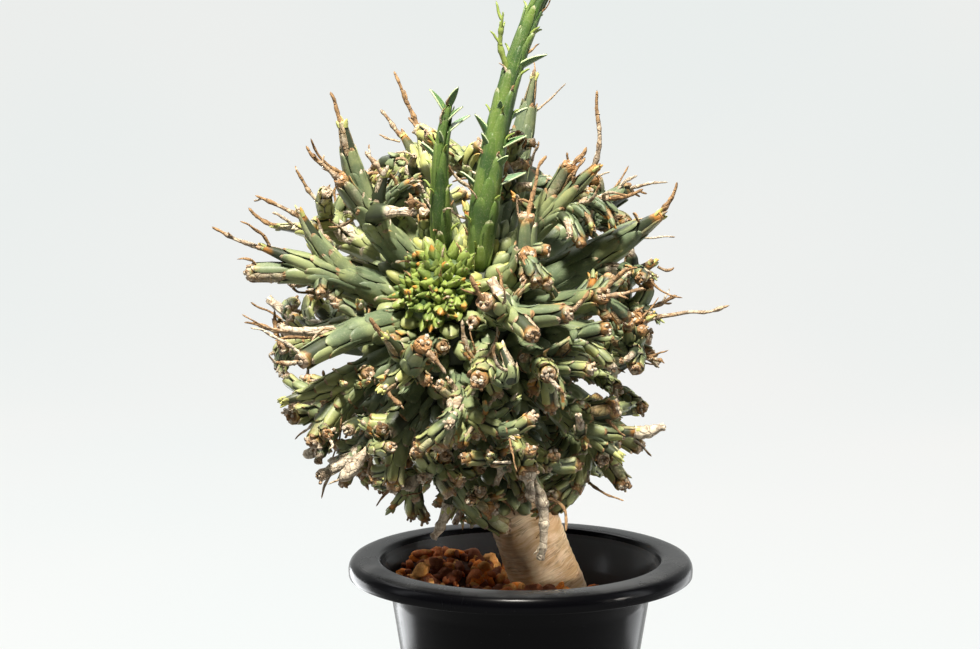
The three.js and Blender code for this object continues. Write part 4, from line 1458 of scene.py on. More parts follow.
@dataclass
class Pot:
    """The thin tapered pot with its wide rolled lip and its drain holes."""

    height: float = 132
    lip: float = 75
    mouth: float = 61
    body_top: float = 56.2
    body_top_height: float = 114
    base: float = 38
    wall: float = 1.6
    floor: float = 2.4
    skirt: float = 7.5
    columns: int = 144
    drain_holes: int = 6
    drain_radius: float = 4.5
    drain_circle: float = 24
    axis_gap: float = 0.01

    def wall_radius(self, height: float) -> float:
        """The outer radius of the tapered body at a height."""
        return self.base + (self.body_top - self.base) / self.body_top_height * height

    def profile(self) -> Array:
        """The line that is turned into the pot.

        Returns:
            Radii and heights from the middle of the base, up the outside and down the inside.
        """
        lip, mouth, skirt, body = self.lip, self.mouth, self.skirt, self.body_top
        points = [(self.axis_gap, 0.5), (self.base - 5, 0.5), (self.base - 3.4, 0.1)]
        points += [(self.base - 2.2, 0), (self.base - 0.6, 0.5)]
        heights = [2, 2.6, *np.linspace(6, self.body_top_height - 1, 14)]
        points += [(self.wall_radius(h), h) for h in heights]
        points += [(body, self.body_top_height), (body + 0.5, 115.4)]
        rim = [(mouth - 0.5, 4.7), (mouth + 0.4, 3), (mouth + 1.8, 2.1), (lip - 5.4, 2.2), (lip - 3.4, 3)]
        rim += [(lip - 2.3, 4.6), (lip - 1.8, 6.4), (lip - 1.6, skirt - 0.3), (lip - 1.2, skirt)]
        rim += [(lip - 0.4, skirt), (lip - 0.1, skirt - 0.3), (lip, 5.6), (lip, 4.6), (lip - 0.25, 3.2)]
        rim += [(lip - 0.9, 1.85), (lip - 1.9, 0.85), (lip - 3.2, 0.25), (lip - 5, 0.02), (lip - 7.5, 0)]
        rim += [(lip - 10, 0.05), (mouth + 1.8, 0.12), (mouth + 0.9, 0.3), (mouth + 0.3, 0.75)]
        rim += [(mouth, 1.5), (mouth - 0.5, 2.6), (mouth - 1.2, 4), (mouth - 1.5, 4.5), (mouth - 1.9, 4.9)]
        points += [(radius, self.height - drop) for radius, drop in rim]
        points += [(body - self.wall + 0.5, 115.6), (body - self.wall, self.body_top_height)]
        points += [(self.wall_radius(h) - self.wall, h) for h in np.linspace(110, 4, 10)]
        points += [(self.wall_radius(self.floor) - self.wall - 0.6, self.floor)]
        return np.array([*points, (self.axis_gap, self.floor)], float)

    def build(self, material: Material) -> None:
        """Builds the pot and cuts its drain holes.

        Args:
            material: Its plastic.
        """
        pot = build_piece("nursery_pot", [lathe_patch(self.profile(), self.columns)], material)
        wide, thin = self.drain_radius, self.axis_gap
        hole = lathe_patch(np.array([(thin, -4), (wide, -4), (wide, 6), (thin, 6)]), 24)
        turns = [i / self.drain_holes * 2 * math.pi for i in range(self.drain_holes)]
        holes = [hole.placed(on_sphere(0.0, turn) * self.drain_circle) for turn in turns]
        cutter = build_piece("drain_cutter", holes, material)
        for piece in (pot, cutter):
            close_ends(piece)
        cut = pot.modifiers.new("drain", "BOOLEAN")
        cut.object = cutter
        cut.operation = "DIFFERENCE"
        cut.solver = "EXACT"
        keep_modified(pot)
        bpy.data.objects.remove(cutter)
        pot.data.shade_smooth()
        pot.data.set_sharp_from_angle(angle=math.radians(50))
        hand_over(pot, Slot.POT, "pot")


def close_ends(piece: bpy.types.Object) -> None:
    """Closes the pinholes that a turned mesh leaves at its axis.

    Args:
        piece: The turned piece.
    """
    shape = bmesh.new()
    shape.from_mesh(piece.data)
    bmesh.ops.remove_doubles(shape, verts=shape.verts, dist=3e-5)
    bmesh.ops.dissolve_degenerate(shape, edges=shape.edges, dist=1e-7)
    bmesh.ops.recalc_face_normals(shape, faces=shape.faces)
    shape.to_mesh(piece.data)
    shape.free()


def keep_modified(piece: bpy.types.Object) -> None:
    """Bakes a piece's modifiers into its mesh.

    Args:
        piece: The piece.
    """
    graph = bpy.context.evaluated_depsgraph_get()
    mesh = bpy.data.meshes.new_from_object(piece.evaluated_get(graph))
    piece.modifiers.clear()
    piece.data = mesh


@dataclass
class Gravel:
    """The bed of coarse gravel, heaped at the back left."""

    height: float = 113
    mound: float = 15
    mound_centre: tuple[float, float] = (-36, 22)
    spread: float = 30
    hollow: float = 6
    hollow_centre: tuple[float, float] = (40, 26)
    foot: float = 3
    wall_gap: float = 1.9
    front_mound: float = 10
    front_centre: tuple[float, float] = (8, -26)
    front_spread: tuple[float, float] = (30, 15)
    stones: int = 430
    trunk_room: float = 17.2
    columns: int = 72
    seed: int = 77

    def surface(self, x: Array, y: Array) -> Array:
        """The bed's height, with its mound, its hollow and the small heap in front.

        Args:
            x: How far right.
            y: How far back.

        Returns:
            The height there.
        """

        def heap(centre: tuple[float, float], spread: tuple[float, float]) -> Array:
            """A round heap of height 1."""
            across, deep = (x - centre[0]) / spread[0], (y - centre[1]) / spread[1]
            return np.exp(-(across**2) - deep**2)

        even = (self.spread, self.spread)
        rise = self.mound * heap(self.mound_centre, even) - self.hollow * heap(self.hollow_centre, even)
        return self.height + rise + self.front_mound * heap(self.front_centre, self.front_spread)

    def bed(self, pot: Pot) -> Patch:
        """The bed under the loose stones, painted dark as the shade between them.

        Args:
            pot: The pot that it fills.

        Returns:
            Its patch.
        """
        steps = np.array([0.02, 6, 12, 18, 24, 30, 36, 41, 46, 50, 52, 53])
        rim = pot.wall_radius(self.height) - self.wall_gap
        profile = np.stack([steps * rim / steps[-1], np.full(len(steps), self.height)], axis=1)
        patch = lathe_patch(profile[::-1], self.columns)
        x, y = patch.points[:, 0], patch.points[:, 1]
        height = self.surface(x, y) - 1.6
        ripple = 0.8 * np.sin(x * 1.1 + 2 * np.sin(y * 0.7)) * np.sin(y * 1.3)
        wide = np.hypot(x, y)
        wall = pot.wall_radius(height) - self.wall_gap
        fit = np.where(wide > rim - 2, wall / np.maximum(wide, 1), 1.0)
        points = np.stack([x * fit, y * fit, height + ripple * (wide < rim - 3)], axis=1)
        side = [(pot.wall_radius(h) - self.wall_gap, h) for h in np.linspace(self.foot, 100, 6)]
        filling = lathe_patch(np.array([(0.02, self.foot), *side]), self.columns)
        seam = len(filling.points) - self.columns
        joint = grid_faces(2, self.columns) + seam
        faces = np.vstack([filling.faces, joint, patch.faces + len(filling.points)])
        # A low tone paints the bed in the dark painted-shade colour.
        return Patch(np.vstack([filling.points, points]), faces, {"tone": -0.6})

    def build(self, material: Material, pot: Pot) -> None:
        """Heaps the stones on the bed.

        Args:
            material: The gravel's finish.
            pot: The pot that holds it.
        """
        draw = SeededDraw(self.seed)
        fine, fine_faces = ball_points(3)
        coarse, coarse_faces = ball_points(2)
        trunk = TRUNK_COURSE[1][:2]
        patches = [self.bed(pot)]
        for i in range(self.stones):
            grain = 1.5 + 3.2 * draw() ** 1.7
            out = 55 * math.sqrt((i + 0.5) / self.stones)
            turn = i * GOLDEN_ANGLE + draw.between(-0.2, 0.2)
            x, y = out * math.cos(turn), out * math.sin(turn)
            height = float(self.surface(x, y))
            room = pot.wall_radius(height) - self.wall_gap - math.hypot(x, y)
            away = math.hypot(x - trunk[0], y - trunk[1]) - self.trunk_room
            grain = min(grain, room * 0.95, away * 1.05 + 1.2)
            if grain < 0.9:
                continue
            ball, faces = (fine, fine_faces) if grain > 3.4 else (coarse, coarse_faces)
            stone = self.stone(ball, grain, draw)
            lift = grain * draw.between(-0.25, 0.35)
            stone = stone + np.array([x, y, height - 0.4 + lift])
            patches.append(Patch(stone, faces, {"tone": draw() ** 1.1}))
        gravel = build_piece("red_gravel", patches, material)
        hand_over(gravel, Slot.GRAVEL, "gravel")

    @staticmethod
    def stone(ball: Array, grain: float, draw: SeededDraw) -> Array:
        """One rounded, chipped stone.

        Args:
            ball: The points of a ball.
            grain: The stone's radius.
            draw: The draw that shapes it.

        Returns:
            The stone's points.
        """
        reach = np.full(len(ball), 1.3)
        for _ in range(9):
            facing = draw.direction()
            depth = draw.between(0.55, 0.95)
            reach = np.minimum(reach, depth / np.maximum(ball @ facing, 0.05))
        reach = reach - 0.05 * hashed(np.arange(len(ball)), np.array(draw.state % 97))
        stretch = np.array([draw.between(0.85, 1.15), draw.between(0.8, 1.0), draw.between(0.62, 0.9)])
        turn = draw.direction()
        points = ball * reach[:, None] * stretch
        side = square_to(turn)
        return grain * (points @ np.stack([turn, side, np.cross(turn, side)]))


# Trunk and growing point


@dataclass
class Trunk:
    """The pale trunk and the woody head at its top."""

    rows: int = 120
    columns: int = 72
    knobs: int = 230
    neck_knobs: int = 90
    foot_knobs: int = 11
    root_reach: float = CORE_RADIUS - 3.2
    seed: int = 31

    def build(self, bark: Material, skin: Material) -> None:
        """Builds the trunk and the tubercled head.

        Args:
            bark: The trunk's finish.
            skin: The head's finish.
        """
        centres = course_points(TRUNK_COURSE, self.rows)
        share = np.linspace(0, 1, self.rows)
        radii = np.interp(share, np.linspace(0, 1, len(TRUNK_RADII)), TRUNK_RADII)
        tube = Tube(centres, radii * 0.985, self.columns)
        turn = tube.turns * 2 * math.pi
        station = tube.stations[:, None]
        folds = 0.14 * np.sin(station * 1.7 + 2.4 * np.sin(turn + 0.6) + 1.3 * np.sin(3 * turn))
        lumps = 0.35 * np.sin(turn * 2 + station * 0.07) + 0.22 * np.sin(turn * 5 - station * 0.19)
        patch = tube.patch(outward=folds + lumps)
        trunk = build_piece("pale_trunk", [patch], bark)
        hand_over(trunk, Slot.BARK, "trunk")
        head = build_piece("woody_head", self.head(), skin)
        hand_over(head, Slot.BARK, "trunk")

    def head(self) -> list[Patch]:
        """The woody head, covered with old swollen tubercles.

        Returns:
            Its core, its tubercles and those of the neck and the shoots' feet.
        """
        draw = SeededDraw(self.seed)
        points, faces = ball_points(4)
        # The core ball under the knobs is marked for painted shade.
        patches = [Patch(points * (CORE_RADIUS - 2.4) + HEAD_CENTRE, faces, {"groove_shade": 0.8})]
        facing = unit(APEX_DIRECTION)
        for i in range(self.knobs):
            spot = spread_spot(i, self.knobs, draw.between(-0.05, 0.05))
            from_apex = angle_between(spot, facing)
            if from_apex < 14 or angle_between(spot, TRUNK_DIRECTION) < 17:
                continue
            tangent = unit(spot - facing * float(np.dot(spot, facing)))
            lean = unit(spot + tangent * draw.between(0.1, 0.5) + draw.direction() * 0.2)
            fresh = float(smooth(36, 16, np.array(from_apex)))
            length = draw.between(6.0, 9.0) + 1.0 * fresh
            width = draw.between(3.4, 4.6) * (1 - 0.2 * fresh)
            young = 0.12 + 0.65 * fresh * draw()
            base = HEAD_CENTRE + spot * self.root_reach
            patches.append(Scale(length, width, young, 0.15, 0.55).patch(base, lean, tangent))
        for i in range(self.neck_knobs):
            place, along = place_on_course(TRUNK_COURSE, 0.45 + 0.3 * (i + 0.5) / self.neck_knobs)
            outward = around(along, i * GOLDEN_ANGLE)
            lean = unit(outward - along * draw.between(0.3, 0.9))
            knob = Scale(draw.between(6.5, 9.5), draw.between(2.8, 3.8), 0.1, 0.2, 0.7)
            patches.append(knob.patch(place + outward * 11.5, lean, -along))
        for course in (TALL_COURSE, SHORT_COURSE):
            foot = unit(course[0])
            for i in range(self.foot_knobs):
                outward = around(foot, i / self.foot_knobs * 2 * math.pi)
                spot = unit(foot + outward * (0.2 + 0.05 * (i % 2)))
                knob = Scale(draw.between(6, 8), draw.between(2.6, 3.6), 0.55, 0.2, 0.6)
                base = HEAD_CENTRE + spot * self.root_reach
                patches.append(knob.patch(base, unit(spot + outward * 0.4), outward))
        return patches


@dataclass
class GrowingPoint:
    """The crowded fresh tubercles on the front of the head."""

    width: float = 16.5
    rise: float = 6.5
    scales: int = 140
    dry_twigs: int = 9
    seed: int = 5

    def build(self, material: Material) -> None:
        """Builds the low dome and its pointed tubercles.

        Args:
            material: The fresh growth's finish.
        """
        facing = unit(APEX_DIRECTION)
        centre = HEAD_CENTRE + facing * (CORE_RADIUS - 2.0)
        draw = SeededDraw(self.seed)
        ball, faces = ball_points(4)
        flat = ball * self.width + facing * (ball @ facing)[:, None] * (self.rise - self.width)
        # The dome under the scales is marked for painted shade.
        patches = [Patch(flat + centre, faces, {"young": 0.3, "groove_shade": 0.6})]
        tufts = [draw.direction() for _ in range(5)]
        for i in range(self.scales):
            share = (i + 0.5) / self.scales
            out = math.sqrt(share)
            turn = i * GOLDEN_ANGLE + draw.between(-0.35, 0.35)
            across = around(facing, turn)
            height = math.sqrt(1 - 0.9 * share)
            place = centre + across * (self.width * 0.98 * out) + facing * (self.rise * height)
            normal = unit(across * out * self.rise / self.width + facing * height)
            tuft = tufts[int(draw() * len(tufts))]
            lean = unit(normal + across * draw.between(-0.5, 0.4) + tuft * 0.4 + draw.direction() * 0.3)
            fresh = 1 - share
            length = draw.between(2.8, 5.4) + 2.4 * fresh * draw() ** 2
            width = draw.between(1.2, 1.9) + 1.1 * share * draw()
            young = draw.between(0.3, 1.1) - 0.2 * share
            rust = 1.0 if draw() < 0.1 else draw.between(0, 0.3)
            blunt = draw() < 0.05 + 0.4 * share
            scale = Scale(length + 1.8, width, young, rust, 0.9, blunt)
            patches.append(scale.patch(place - normal * 1.8, lean, across))
            if i % (self.scales // self.dry_twigs) == 4:
                middle = place + normal * 4 + draw.direction() * 1.5
                end = middle + unit(normal + draw.direction()) * 5
                patches.append(twig_patch(np.array([place, middle, end]), 0.55, 1.0, 0.2, draw))
        point = build_piece("growing_point", patches, material)
        hand_over(point, Slot.FRESH, "apex")


@dataclass
class Scale:
    """One plump tubercle or pointed scale, hooked at its tip."""

    length: float
    width: float
    young: float
    rust: float
    wear: float
    blunt: bool = True

    def patch(self, base: Point, lean: Point, tangent: Point) -> Patch:
        """The scale in its place.

        Args:
            base: Its foot.
            lean: Where it points.
            tangent: Where its tip hooks to.

        Returns:
            The patch.
        """
        share = np.array([0, 0.2, 0.42, 0.62, 0.8, 0.93, 1.0])
        wide = np.array([0.8, 1.0, 0.92, 0.68, 0.4, 0.18, 0.03])
        if self.blunt:
            wide = np.array([0.9, 1.0, 0.98, 0.9, 0.68, 0.34, 0.04])
        hook = 0.16 * self.length * share**2
        centres = base + lean * (share * self.length)[:, None] + tangent * hook[:, None]
        tube = Tube(centres, wide * self.width, 7)
        lobes, depth = (2, 0.14) if self.blunt else (3, 0.3)
        keel = depth * tube.radii[:, None] * np.cos(tube.turns * lobes * 2 * math.pi)
        marks = {
            "young": self.young + 0.25 * share,
            "rust": self.rust * share**2,
            "wear": self.wear * smooth(0.9, 1.0, share),
            "tone": 0.9 * hashed(base[0] * 3, base[1]),
            # Painted shade at each scale's foot.
            "groove_shade": 0.9 * (1 - smooth(0.0, 0.5, share)),
        }
        return tube.patch(outward=keel, marks=marks)


@dataclass
class Shoot:
    """A tall green shoot with long running ribs, teeth, dry twigs and leaves."""

    name: str
    node: str
    course: Array
    radii: Sequence[float]
    leaves: Sequence
    small_leaves: Sequence
    dry_share: float = 0.4
    side_stalk: Optional[Array] = None
    seed: int = 11
    ribs: Tubercles = Tubercles(4, 9, 1.9, 0.95, 0.45, 0.6, 2.2, 0.6)

    def build(self, skin: Material, leaf: Material) -> None:
        """Builds the shoot and its leaves.

        Args:
            skin: The fresh growth's finish.
            leaf: The leaves' finish.
        """
        draw = SeededDraw(self.seed)
        rows = 190
        centres = course_points(self.course, rows)
        share = np.linspace(0, 1, rows)
        radii = np.interp(share, np.linspace(0, 1, len(self.radii)), self.radii)
        radii = radii * np.sqrt(1 - 0.9 * smooth(0.975, 1.0, share))
        core = Tube(centres, radii * 0.66, 18)
        # The core under the ribs is marked for painted shade.
        patches = [core.patch(marks={"young": 0.1 + 0.3 * share, "groove_shade": 0.5, "tone": 0.3})]
        spots = self.ribs.spots(12, core.stations[-1] - 1.5, draw)
        others = hashed(spots[:, 0], spots[:, 1] * 5)
        near = smooth(core.stations[-1], core.stations[-1] - 20, spots[:, 0])
        marks = {"young": 0.05 + 0.5 * others, "tone": others, "wear": 0.6 * others}
        patches.append(self.ribs.patch(core, spots, 0.35 + 0.65 * near, marks))
        patches += self.teeth(core, spots, draw)
        patches += self.side_stalk_patches(draw)
        stem = build_piece(self.name, patches, skin, HEAD_CENTRE)
        hand_over(stem, Slot.FRESH, self.node)
        blades = [self.blade(centres, *spec, draw) for spec in (*self.leaves, *self.small_leaves)]
        leaves = build_piece(f"{self.name}_leaves", blades, leaf, HEAD_CENTRE)
        leaves.modifiers.new("thickness", "SOLIDIFY").thickness = 0.7 * MILLIMETRE
        keep_modified(leaves)
        hand_over(leaves, Slot.FRESH, self.node)

    def teeth(self, core: Tube, spots: Array, draw: SeededDraw) -> list[Patch]:
        """Small bracts and dry curled twigs at the tips of the ribs.

        Args:
            core: The shoot's core.
            spots: Station and turn of each tip.
            draw: The draw that picks them.

        Returns:
            Their patches.
        """
        patches = []
        for station, turn in spots:
            row = min(int(np.searchsorted(core.stations, station)), len(core.stations) - 1)
            column = int(turn * core.columns) % core.columns
            out, along = core.radial[row, column], core.along[row]
            base = core.centres[row] + out * (core.radii[row] + 1.0)
            heading = unit(out * 0.7 + along)
            if draw() < self.dry_share:
                length = draw.between(3, 8)
                middle = base + heading * (length * 0.5)
                end = middle + unit(heading + draw.direction()) * (length * 0.55)
                thick = draw.between(0.35, 0.5)
                patches.append(twig_patch(np.array([base, middle, end]), thick, 1.0, 0.2, draw))
            elif draw() < 0.5:
                length = draw.between(3.5, 6)
                middle = base + heading * (length * 0.5)
                end = middle + unit(heading + out * 0.8) * (length * 0.5)
                patches.append(twig_patch(np.array([base, middle, end]), 0.75, 0.0, 0.9, draw, 0))
        return patches

    def side_stalk_patches(self, draw: SeededDraw) -> list[Patch]:
        """The slender green side stalk with its small bracts.

        Args:
            draw: The draw that bends it.

        Returns:
            Its patches, none where the shoot has no such stalk.
        """
        arc = self.side_stalk
        if arc is None:
            return []
        patches = [twig_patch(arc, 1.5, 0.0, 1.0, draw)]
        for i in range(4):
            outward = np.array([math.cos(i * 2.4 + 2.6), 0.6 * math.sin(i * 2.4 + 2.6), 0.0])
            foot = arc_point(arc, 1 - 0.13 * i)
            middle = foot + outward * 2.2 + np.array([0, 0, 3.0])
            end = middle + outward * (0.4 + 0.7 * i) + np.array([0, 0, 4.5 - 0.6 * i])
            patches.append(twig_patch(np.array([foot, middle, end]), 0.8, 0.0, 0.95, draw, 0))
        return patches

    def blade(
        self, centres: Array, along: float, turn: float, lean: float, length: float, draw: SeededDraw
    ) -> Patch:
        """One narrow folded leaf that bows away from the shoot.

        Args:
            centres: Points of the shoot's course.
            along: The leaf's place along the shoot.
            turn: Its turn about the shoot.
            lean: Its lean away from the shoot.
            length: Its length.
            draw: The draw that varies it.

        Returns:
            The patch.
        """
        row = int(along * (len(centres) - 1))
        foot = centres[row]
        heading = unit(centres[min(row + 1, len(centres) - 1)] - centres[row - 1])
        outward = np.array([math.cos(turn), math.sin(turn), 0.0])
        outward = unit(outward - heading * float(np.dot(outward, heading)))
        leaning = heading * math.cos(lean) + outward * math.sin(lean)
        across = turn_about(np.cross(heading, outward), leaning, draw.between(-0.9, 0.9))
        radius = radius_on_course(self.radii, along)
        share = np.linspace(0, 1, 13)
        half = length * 0.2 * np.sin(np.clip(share * 0.94 + 0.06, 0, 1) ** 0.75 * math.pi) ** 0.7 + 0.12
        bow = LEAF_BOW * length * share**2
        spine = foot + outward * radius * 0.5 + leaning * (share * length)[:, None]
        spine = spine + outward * bow[:, None]
        side = np.linspace(-1, 1, 7)
        fold = 0.3 * np.abs(side) ** 1.4
        face = np.cross(across, leaning)
        points = spine[:, None, :] + across * (side[:, None] * half[:, None, None])
        points = points - face * (fold[:, None] * half[:, None, None])
        tone = np.maximum(np.abs(side) ** 3, 0.85 * (np.abs(side) < 0.1))
        marks = {"tone": np.tile(tone, len(share)), "young": draw.between(0.05, 0.4)}
        return Patch(points.reshape(-1, 3), grid_faces(len(share), len(side), False), marks)


TALL_SHOOT = Shoot(
    "tall_shoot",
    "shoot_tall",
    TALL_COURSE,
    TALL_RADII,
    TALL_LEAVES,
    TALL_SMALL_LEAVES,
    0.45,
    np.array([[19.5, -28, 106], [13.5, -32, 116], [15.5, -34, 130]]),
    11,
)
SHORT_SHOOT = Shoot(
    "short_shoot",
    "shoot_short",
    SHORT_COURSE,
    SHORT_RADII,
    SHORT_LEAVES,
    SHORT_SMALL_LEAVES,
    0.3,
    None,
    23,
)


def twig_patch(
    arc: Array, thick: float, wear: float, young: float, draw: SeededDraw, knots: int = 3
) -> Patch:
    """A thin stalk or twig with swollen knots, thinning to its tip.

    Args:
        arc: Its arc.
        thick: Its radius at the foot.
        wear: How dry it is.
        young: How yellow-green it is.
        draw: The draw that bends it.
        knots: How many knots it has.

    Returns:
        The patch.
    """
    length = size(arc[2] - arc[0])
    rows = max(9, min(34, int(length * 1.2)))
    centres = arc_points(arc, rows)
    share = np.linspace(0, 1, rows)
    sway = draw.direction() * 0.03 * length
    other = draw.direction() * 0.02 * length
    centres = centres + sway * np.sin(share * 7)[:, None] * share[:, None]
    centres = centres + other * np.sin(share * 13 + 1)[:, None] * share[:, None]
    swell = np.zeros(rows)
    for _ in range(knots):
        spot = draw.between(0.15, 0.98)
        swell += 0.3 * np.exp(-(((share - spot) * length / 1.1) ** 2))
    radii = thick * (1 - 0.55 * share) * (1 + swell)
    radii[-1] = 0.05
    tube = Tube(centres, radii, 6)
    lumps = 0.12 * thick * (hashed(np.arange(rows)[:, None], np.arange(tube.columns)) - 0.5)
    dry = wear > 0.3
    marks = {"wear": wear * (0.82 + 0.25 * share) if dry else wear, "young": young}
    marks["tone"] = draw.between(-0.4, 0.7) - 0.9 * smooth(0.5, 1.0, share) * (draw() < 0.6)
    marks["rust"] = 0.2 * draw() if dry else 0.0
    return tube.patch(outward=lumps, marks=marks)


# Crown


@dataclass(frozen=True)
class Zone:
    """How the skin looks in one zone of the crown, with its painted shading."""

    tubercles: Tubercles
    young: float
    # painted_shading: how much darker (above 0) or lighter (below 0) the zone's skin is painted, as painted
    # shade and painted light.
    painted_shading: float
    tip_wear: float
    twigs: float
    scab: float


# The upper zone is painted lighter and the right and front zones darker, as painted light and shade; the
# upper zone's stronger young tint lightens it too.
UPPER = Zone(Tubercles(5, 11.0, 1.2, 1.2, 0.27, 0.3, 0.55, 2.4), 0.7, -0.4, 0.8, 2.0, 0.7)
RIGHT = Zone(Tubercles(5, 11.0, 1.2, 1.24, 0.22, 0.22, 0.35, 2.4), 0.15, 0.55, 0.7, 1.7, 0.7)
FRONT = Zone(Tubercles(5, 10.4, 1.1, 1.24, 0.24, 0.25, 0.35, 2.6), 0.2, 0.25, 0.8, 1.5, 0.8)
LOWER = Zone(Tubercles(5, 7.0, 1.05, 1.18, 0.3, 0.36, 0.6, 2.2), 0.45, 0.2, 1.0, 0.7, 1.0)


def zone_of(place: Point) -> Zone:
    """The zone of the crown that a place lies in.

    Args:
        place: The place, from the middle of the woody head.

    Returns:
        The zone.
    """
    heading = unit(place)
    if angle_between(heading, APEX_DIRECTION) < 52 and heading[2] > -0.12:
        return FRONT
    if heading[2] < -0.06:
        return LOWER
    return RIGHT if heading[0] > 0.1 else UPPER


@dataclass
class Limb:
    """One tubercled arm or side shoot along an arc, from its first to its last radius."""

    arc: Array
    radii: tuple[float, float]
    end: End
    zone: Zone
    small: bool
    draw: SeededDraw
    row_spacing: float = 2.4

    @property
    def growing(self) -> bool:
        """Whether its end still grows."""
        return self.end in (End.FRESH, End.RUSTY)

    def patches(self) -> list[Patch]:
        """Shapes the limb.

        Returns:
            Its core, its tubercles and its end.
        """
        zone, end = self.zone, self.end
        length = float(np.linalg.norm(np.diff(arc_points(self.arc, 24), axis=0), axis=1).sum())
        rows = max(7, round(length / self.row_spacing))
        centres = arc_points(self.arc, rows)
        heading = unit(centres[-1] - centres[-2])
        cap = np.array([0.2, 0.35, 0.45])
        centres = np.vstack([centres, centres[-1] + heading * cap[:, None]])
        station = np.concatenate([np.linspace(0, length, rows), length + cap])
        share = np.clip(station / length, 0, 1)
        left = length - station
        width = (self.radii[0] + (self.radii[1] - self.radii[0]) * share) * self.narrowing(share, left)
        dead, rust = self.deadness(share, left), self.rustiness(left)
        body = width - (0.62 * zone.tubercles.stand + 0.06 * width) * (1 - dead) - 0.1
        body[-3:] = body[-4] * np.array([0.86, 0.55, 0.05])
        core = Tube(centres, body, 8 if self.small else 11)
        creases = np.sin(core.turns * 2 * math.pi * 4 + 1.4 * np.sin(station[:, None] * 0.5))
        cup = np.zeros((rows + 3, 1))
        if not self.growing:
            cup[-3:, 0] = [-0.1, -0.7, -1.2]
        marks = {
            "wear": dead,
            "rust": rust,
            "young": zone.young * smooth(0.3, 1.0, share),
            # The zone's painted shading darkens or lightens the skin's tone.
            "tone": self.draw.between(0.1, 0.9) + (0.4 if end is End.DEAD else -zone.painted_shading),
            # The core under the tubercles gets painted groove shade, unless it is dead.
            "groove_shade": 0.85 * (1 - dead),
        }
        patches = [core.patch(0.3 * dead[:, None] * creases, cup, marks)]
        hidden = 54 if zone is LOWER else 46
        deep = station[:rows][np.linalg.norm(centres[:rows], axis=1) < hidden]
        first = max(4.0 if self.small else 9.0, float(deep.max()) if len(deep) else 0.0)
        patches += self.cover(core, first, length, np.stack([station, dead, rust]))
        patches.append(self.end_pegs(centres[rows - 1], heading, body[rows - 1]))
        return patches

    def cover(self, core: Tube, first: float, length: float, skin: Array) -> list[Patch]:
        """The tubercles on its core.

        Args:
            core: The core.
            first: The station of the first tips.
            length: Its length.
            skin: Its stations, and how dead and how rusty it is there.

        Returns:
            Their patch, if any stand.
        """
        zone, cells, station = self.zone, self.zone.tubercles, skin[0]
        if self.small:
            high = zone in (UPPER, RIGHT)
            spacing, columns = (7.0, 4) if high else (5.2, 4 if self.arc[2][1] < 15 else 3)
            first = max(first, length - (24 if high else 14))
            cells = Tubercles(columns, spacing, 1.0, 1.18, 0.32, 0.28, cells.free * 0.8, cells.lift, 5, 6)
        spots = cells.spots(first, length - (2.2 if self.end is End.STUB else -0.4), self.draw)
        dead = np.interp(spots[:, 0], station, skin[1])
        picks = hashed(spots[:, 0], spots[:, 1] * 9)
        kept = (dead < 0.5) | (picks < 0.35)
        if not kept.any():
            return []
        spots, dead, picks = spots[kept], dead[kept], picks[kept]
        share = np.clip(spots[:, 0] / length, 0, 1)
        near = np.clip((length - spots[:, 0]) / 12, 0, 1)
        grow = (1 - 0.5 * (1 - near)) if self.growing else np.ones(len(spots))
        others = hashed(spots[:, 1] * 5, spots[:, 0])
        marks = {
            "wear": zone.tip_wear * (0.4 + 0.9 * others),
            "dead": dead,
            "rust": np.interp(spots[:, 0], station, skin[2]) + 0.55 * (picks > 0.86) * others,
            "young": zone.young * (0.25 + 0.75 * smooth(0.1, 0.95, share)) + 0.25 * others,
            # The zone's painted shading darkens or lightens each tubercle's tone.
            "tone": picks - zone.painted_shading + 0.7 * dead,
        }
        return [cells.patch(core, spots, grow * (1 - 0.55 * dead), marks)]

    def narrowing(self, share: Array, left: Array) -> Array:
        """How its width changes towards its end.

        Args:
            share: Places along it, from 0 to 1.
            left: How far each is from its end.

        Returns:
            The width at each place, against an even limb's.
        """
        if self.growing:
            near = np.clip(1 - left / 22, 0, 1)
            return 1 - 0.5 * near**1.3
        if self.end is End.STUB:
            near = np.clip(1 - left / 3.5, 0, 1)
            return 1 + 0.06 * np.sin(near * math.pi) - 0.14 * near**3
        waves = 0.07 * np.sin(left * 0.9 + self.draw() * 6)
        return 1 - (0.5 - waves) * smooth(0.45, 0.66, share)

    def deadness(self, share: Array, left: Array) -> Array:
        """How dead and bleached its skin is along it."""
        if self.end is End.DEAD:
            return smooth(0.45, 0.66, share)
        return 0.6 * smooth(-1.0, 0.0, -left) if self.growing else smooth(-3.2, -0.6, -left)

    def rustiness(self, left: Array) -> Array:
        """How rusty its skin is along it."""
        looks = {End.RUSTY: (0.62, -11, -1), End.FRESH: (0.15, -4, -1)}
        most, low, high = looks.get(self.end, (0.46, -7, -2.5))
        return most * smooth(low, high, -left)

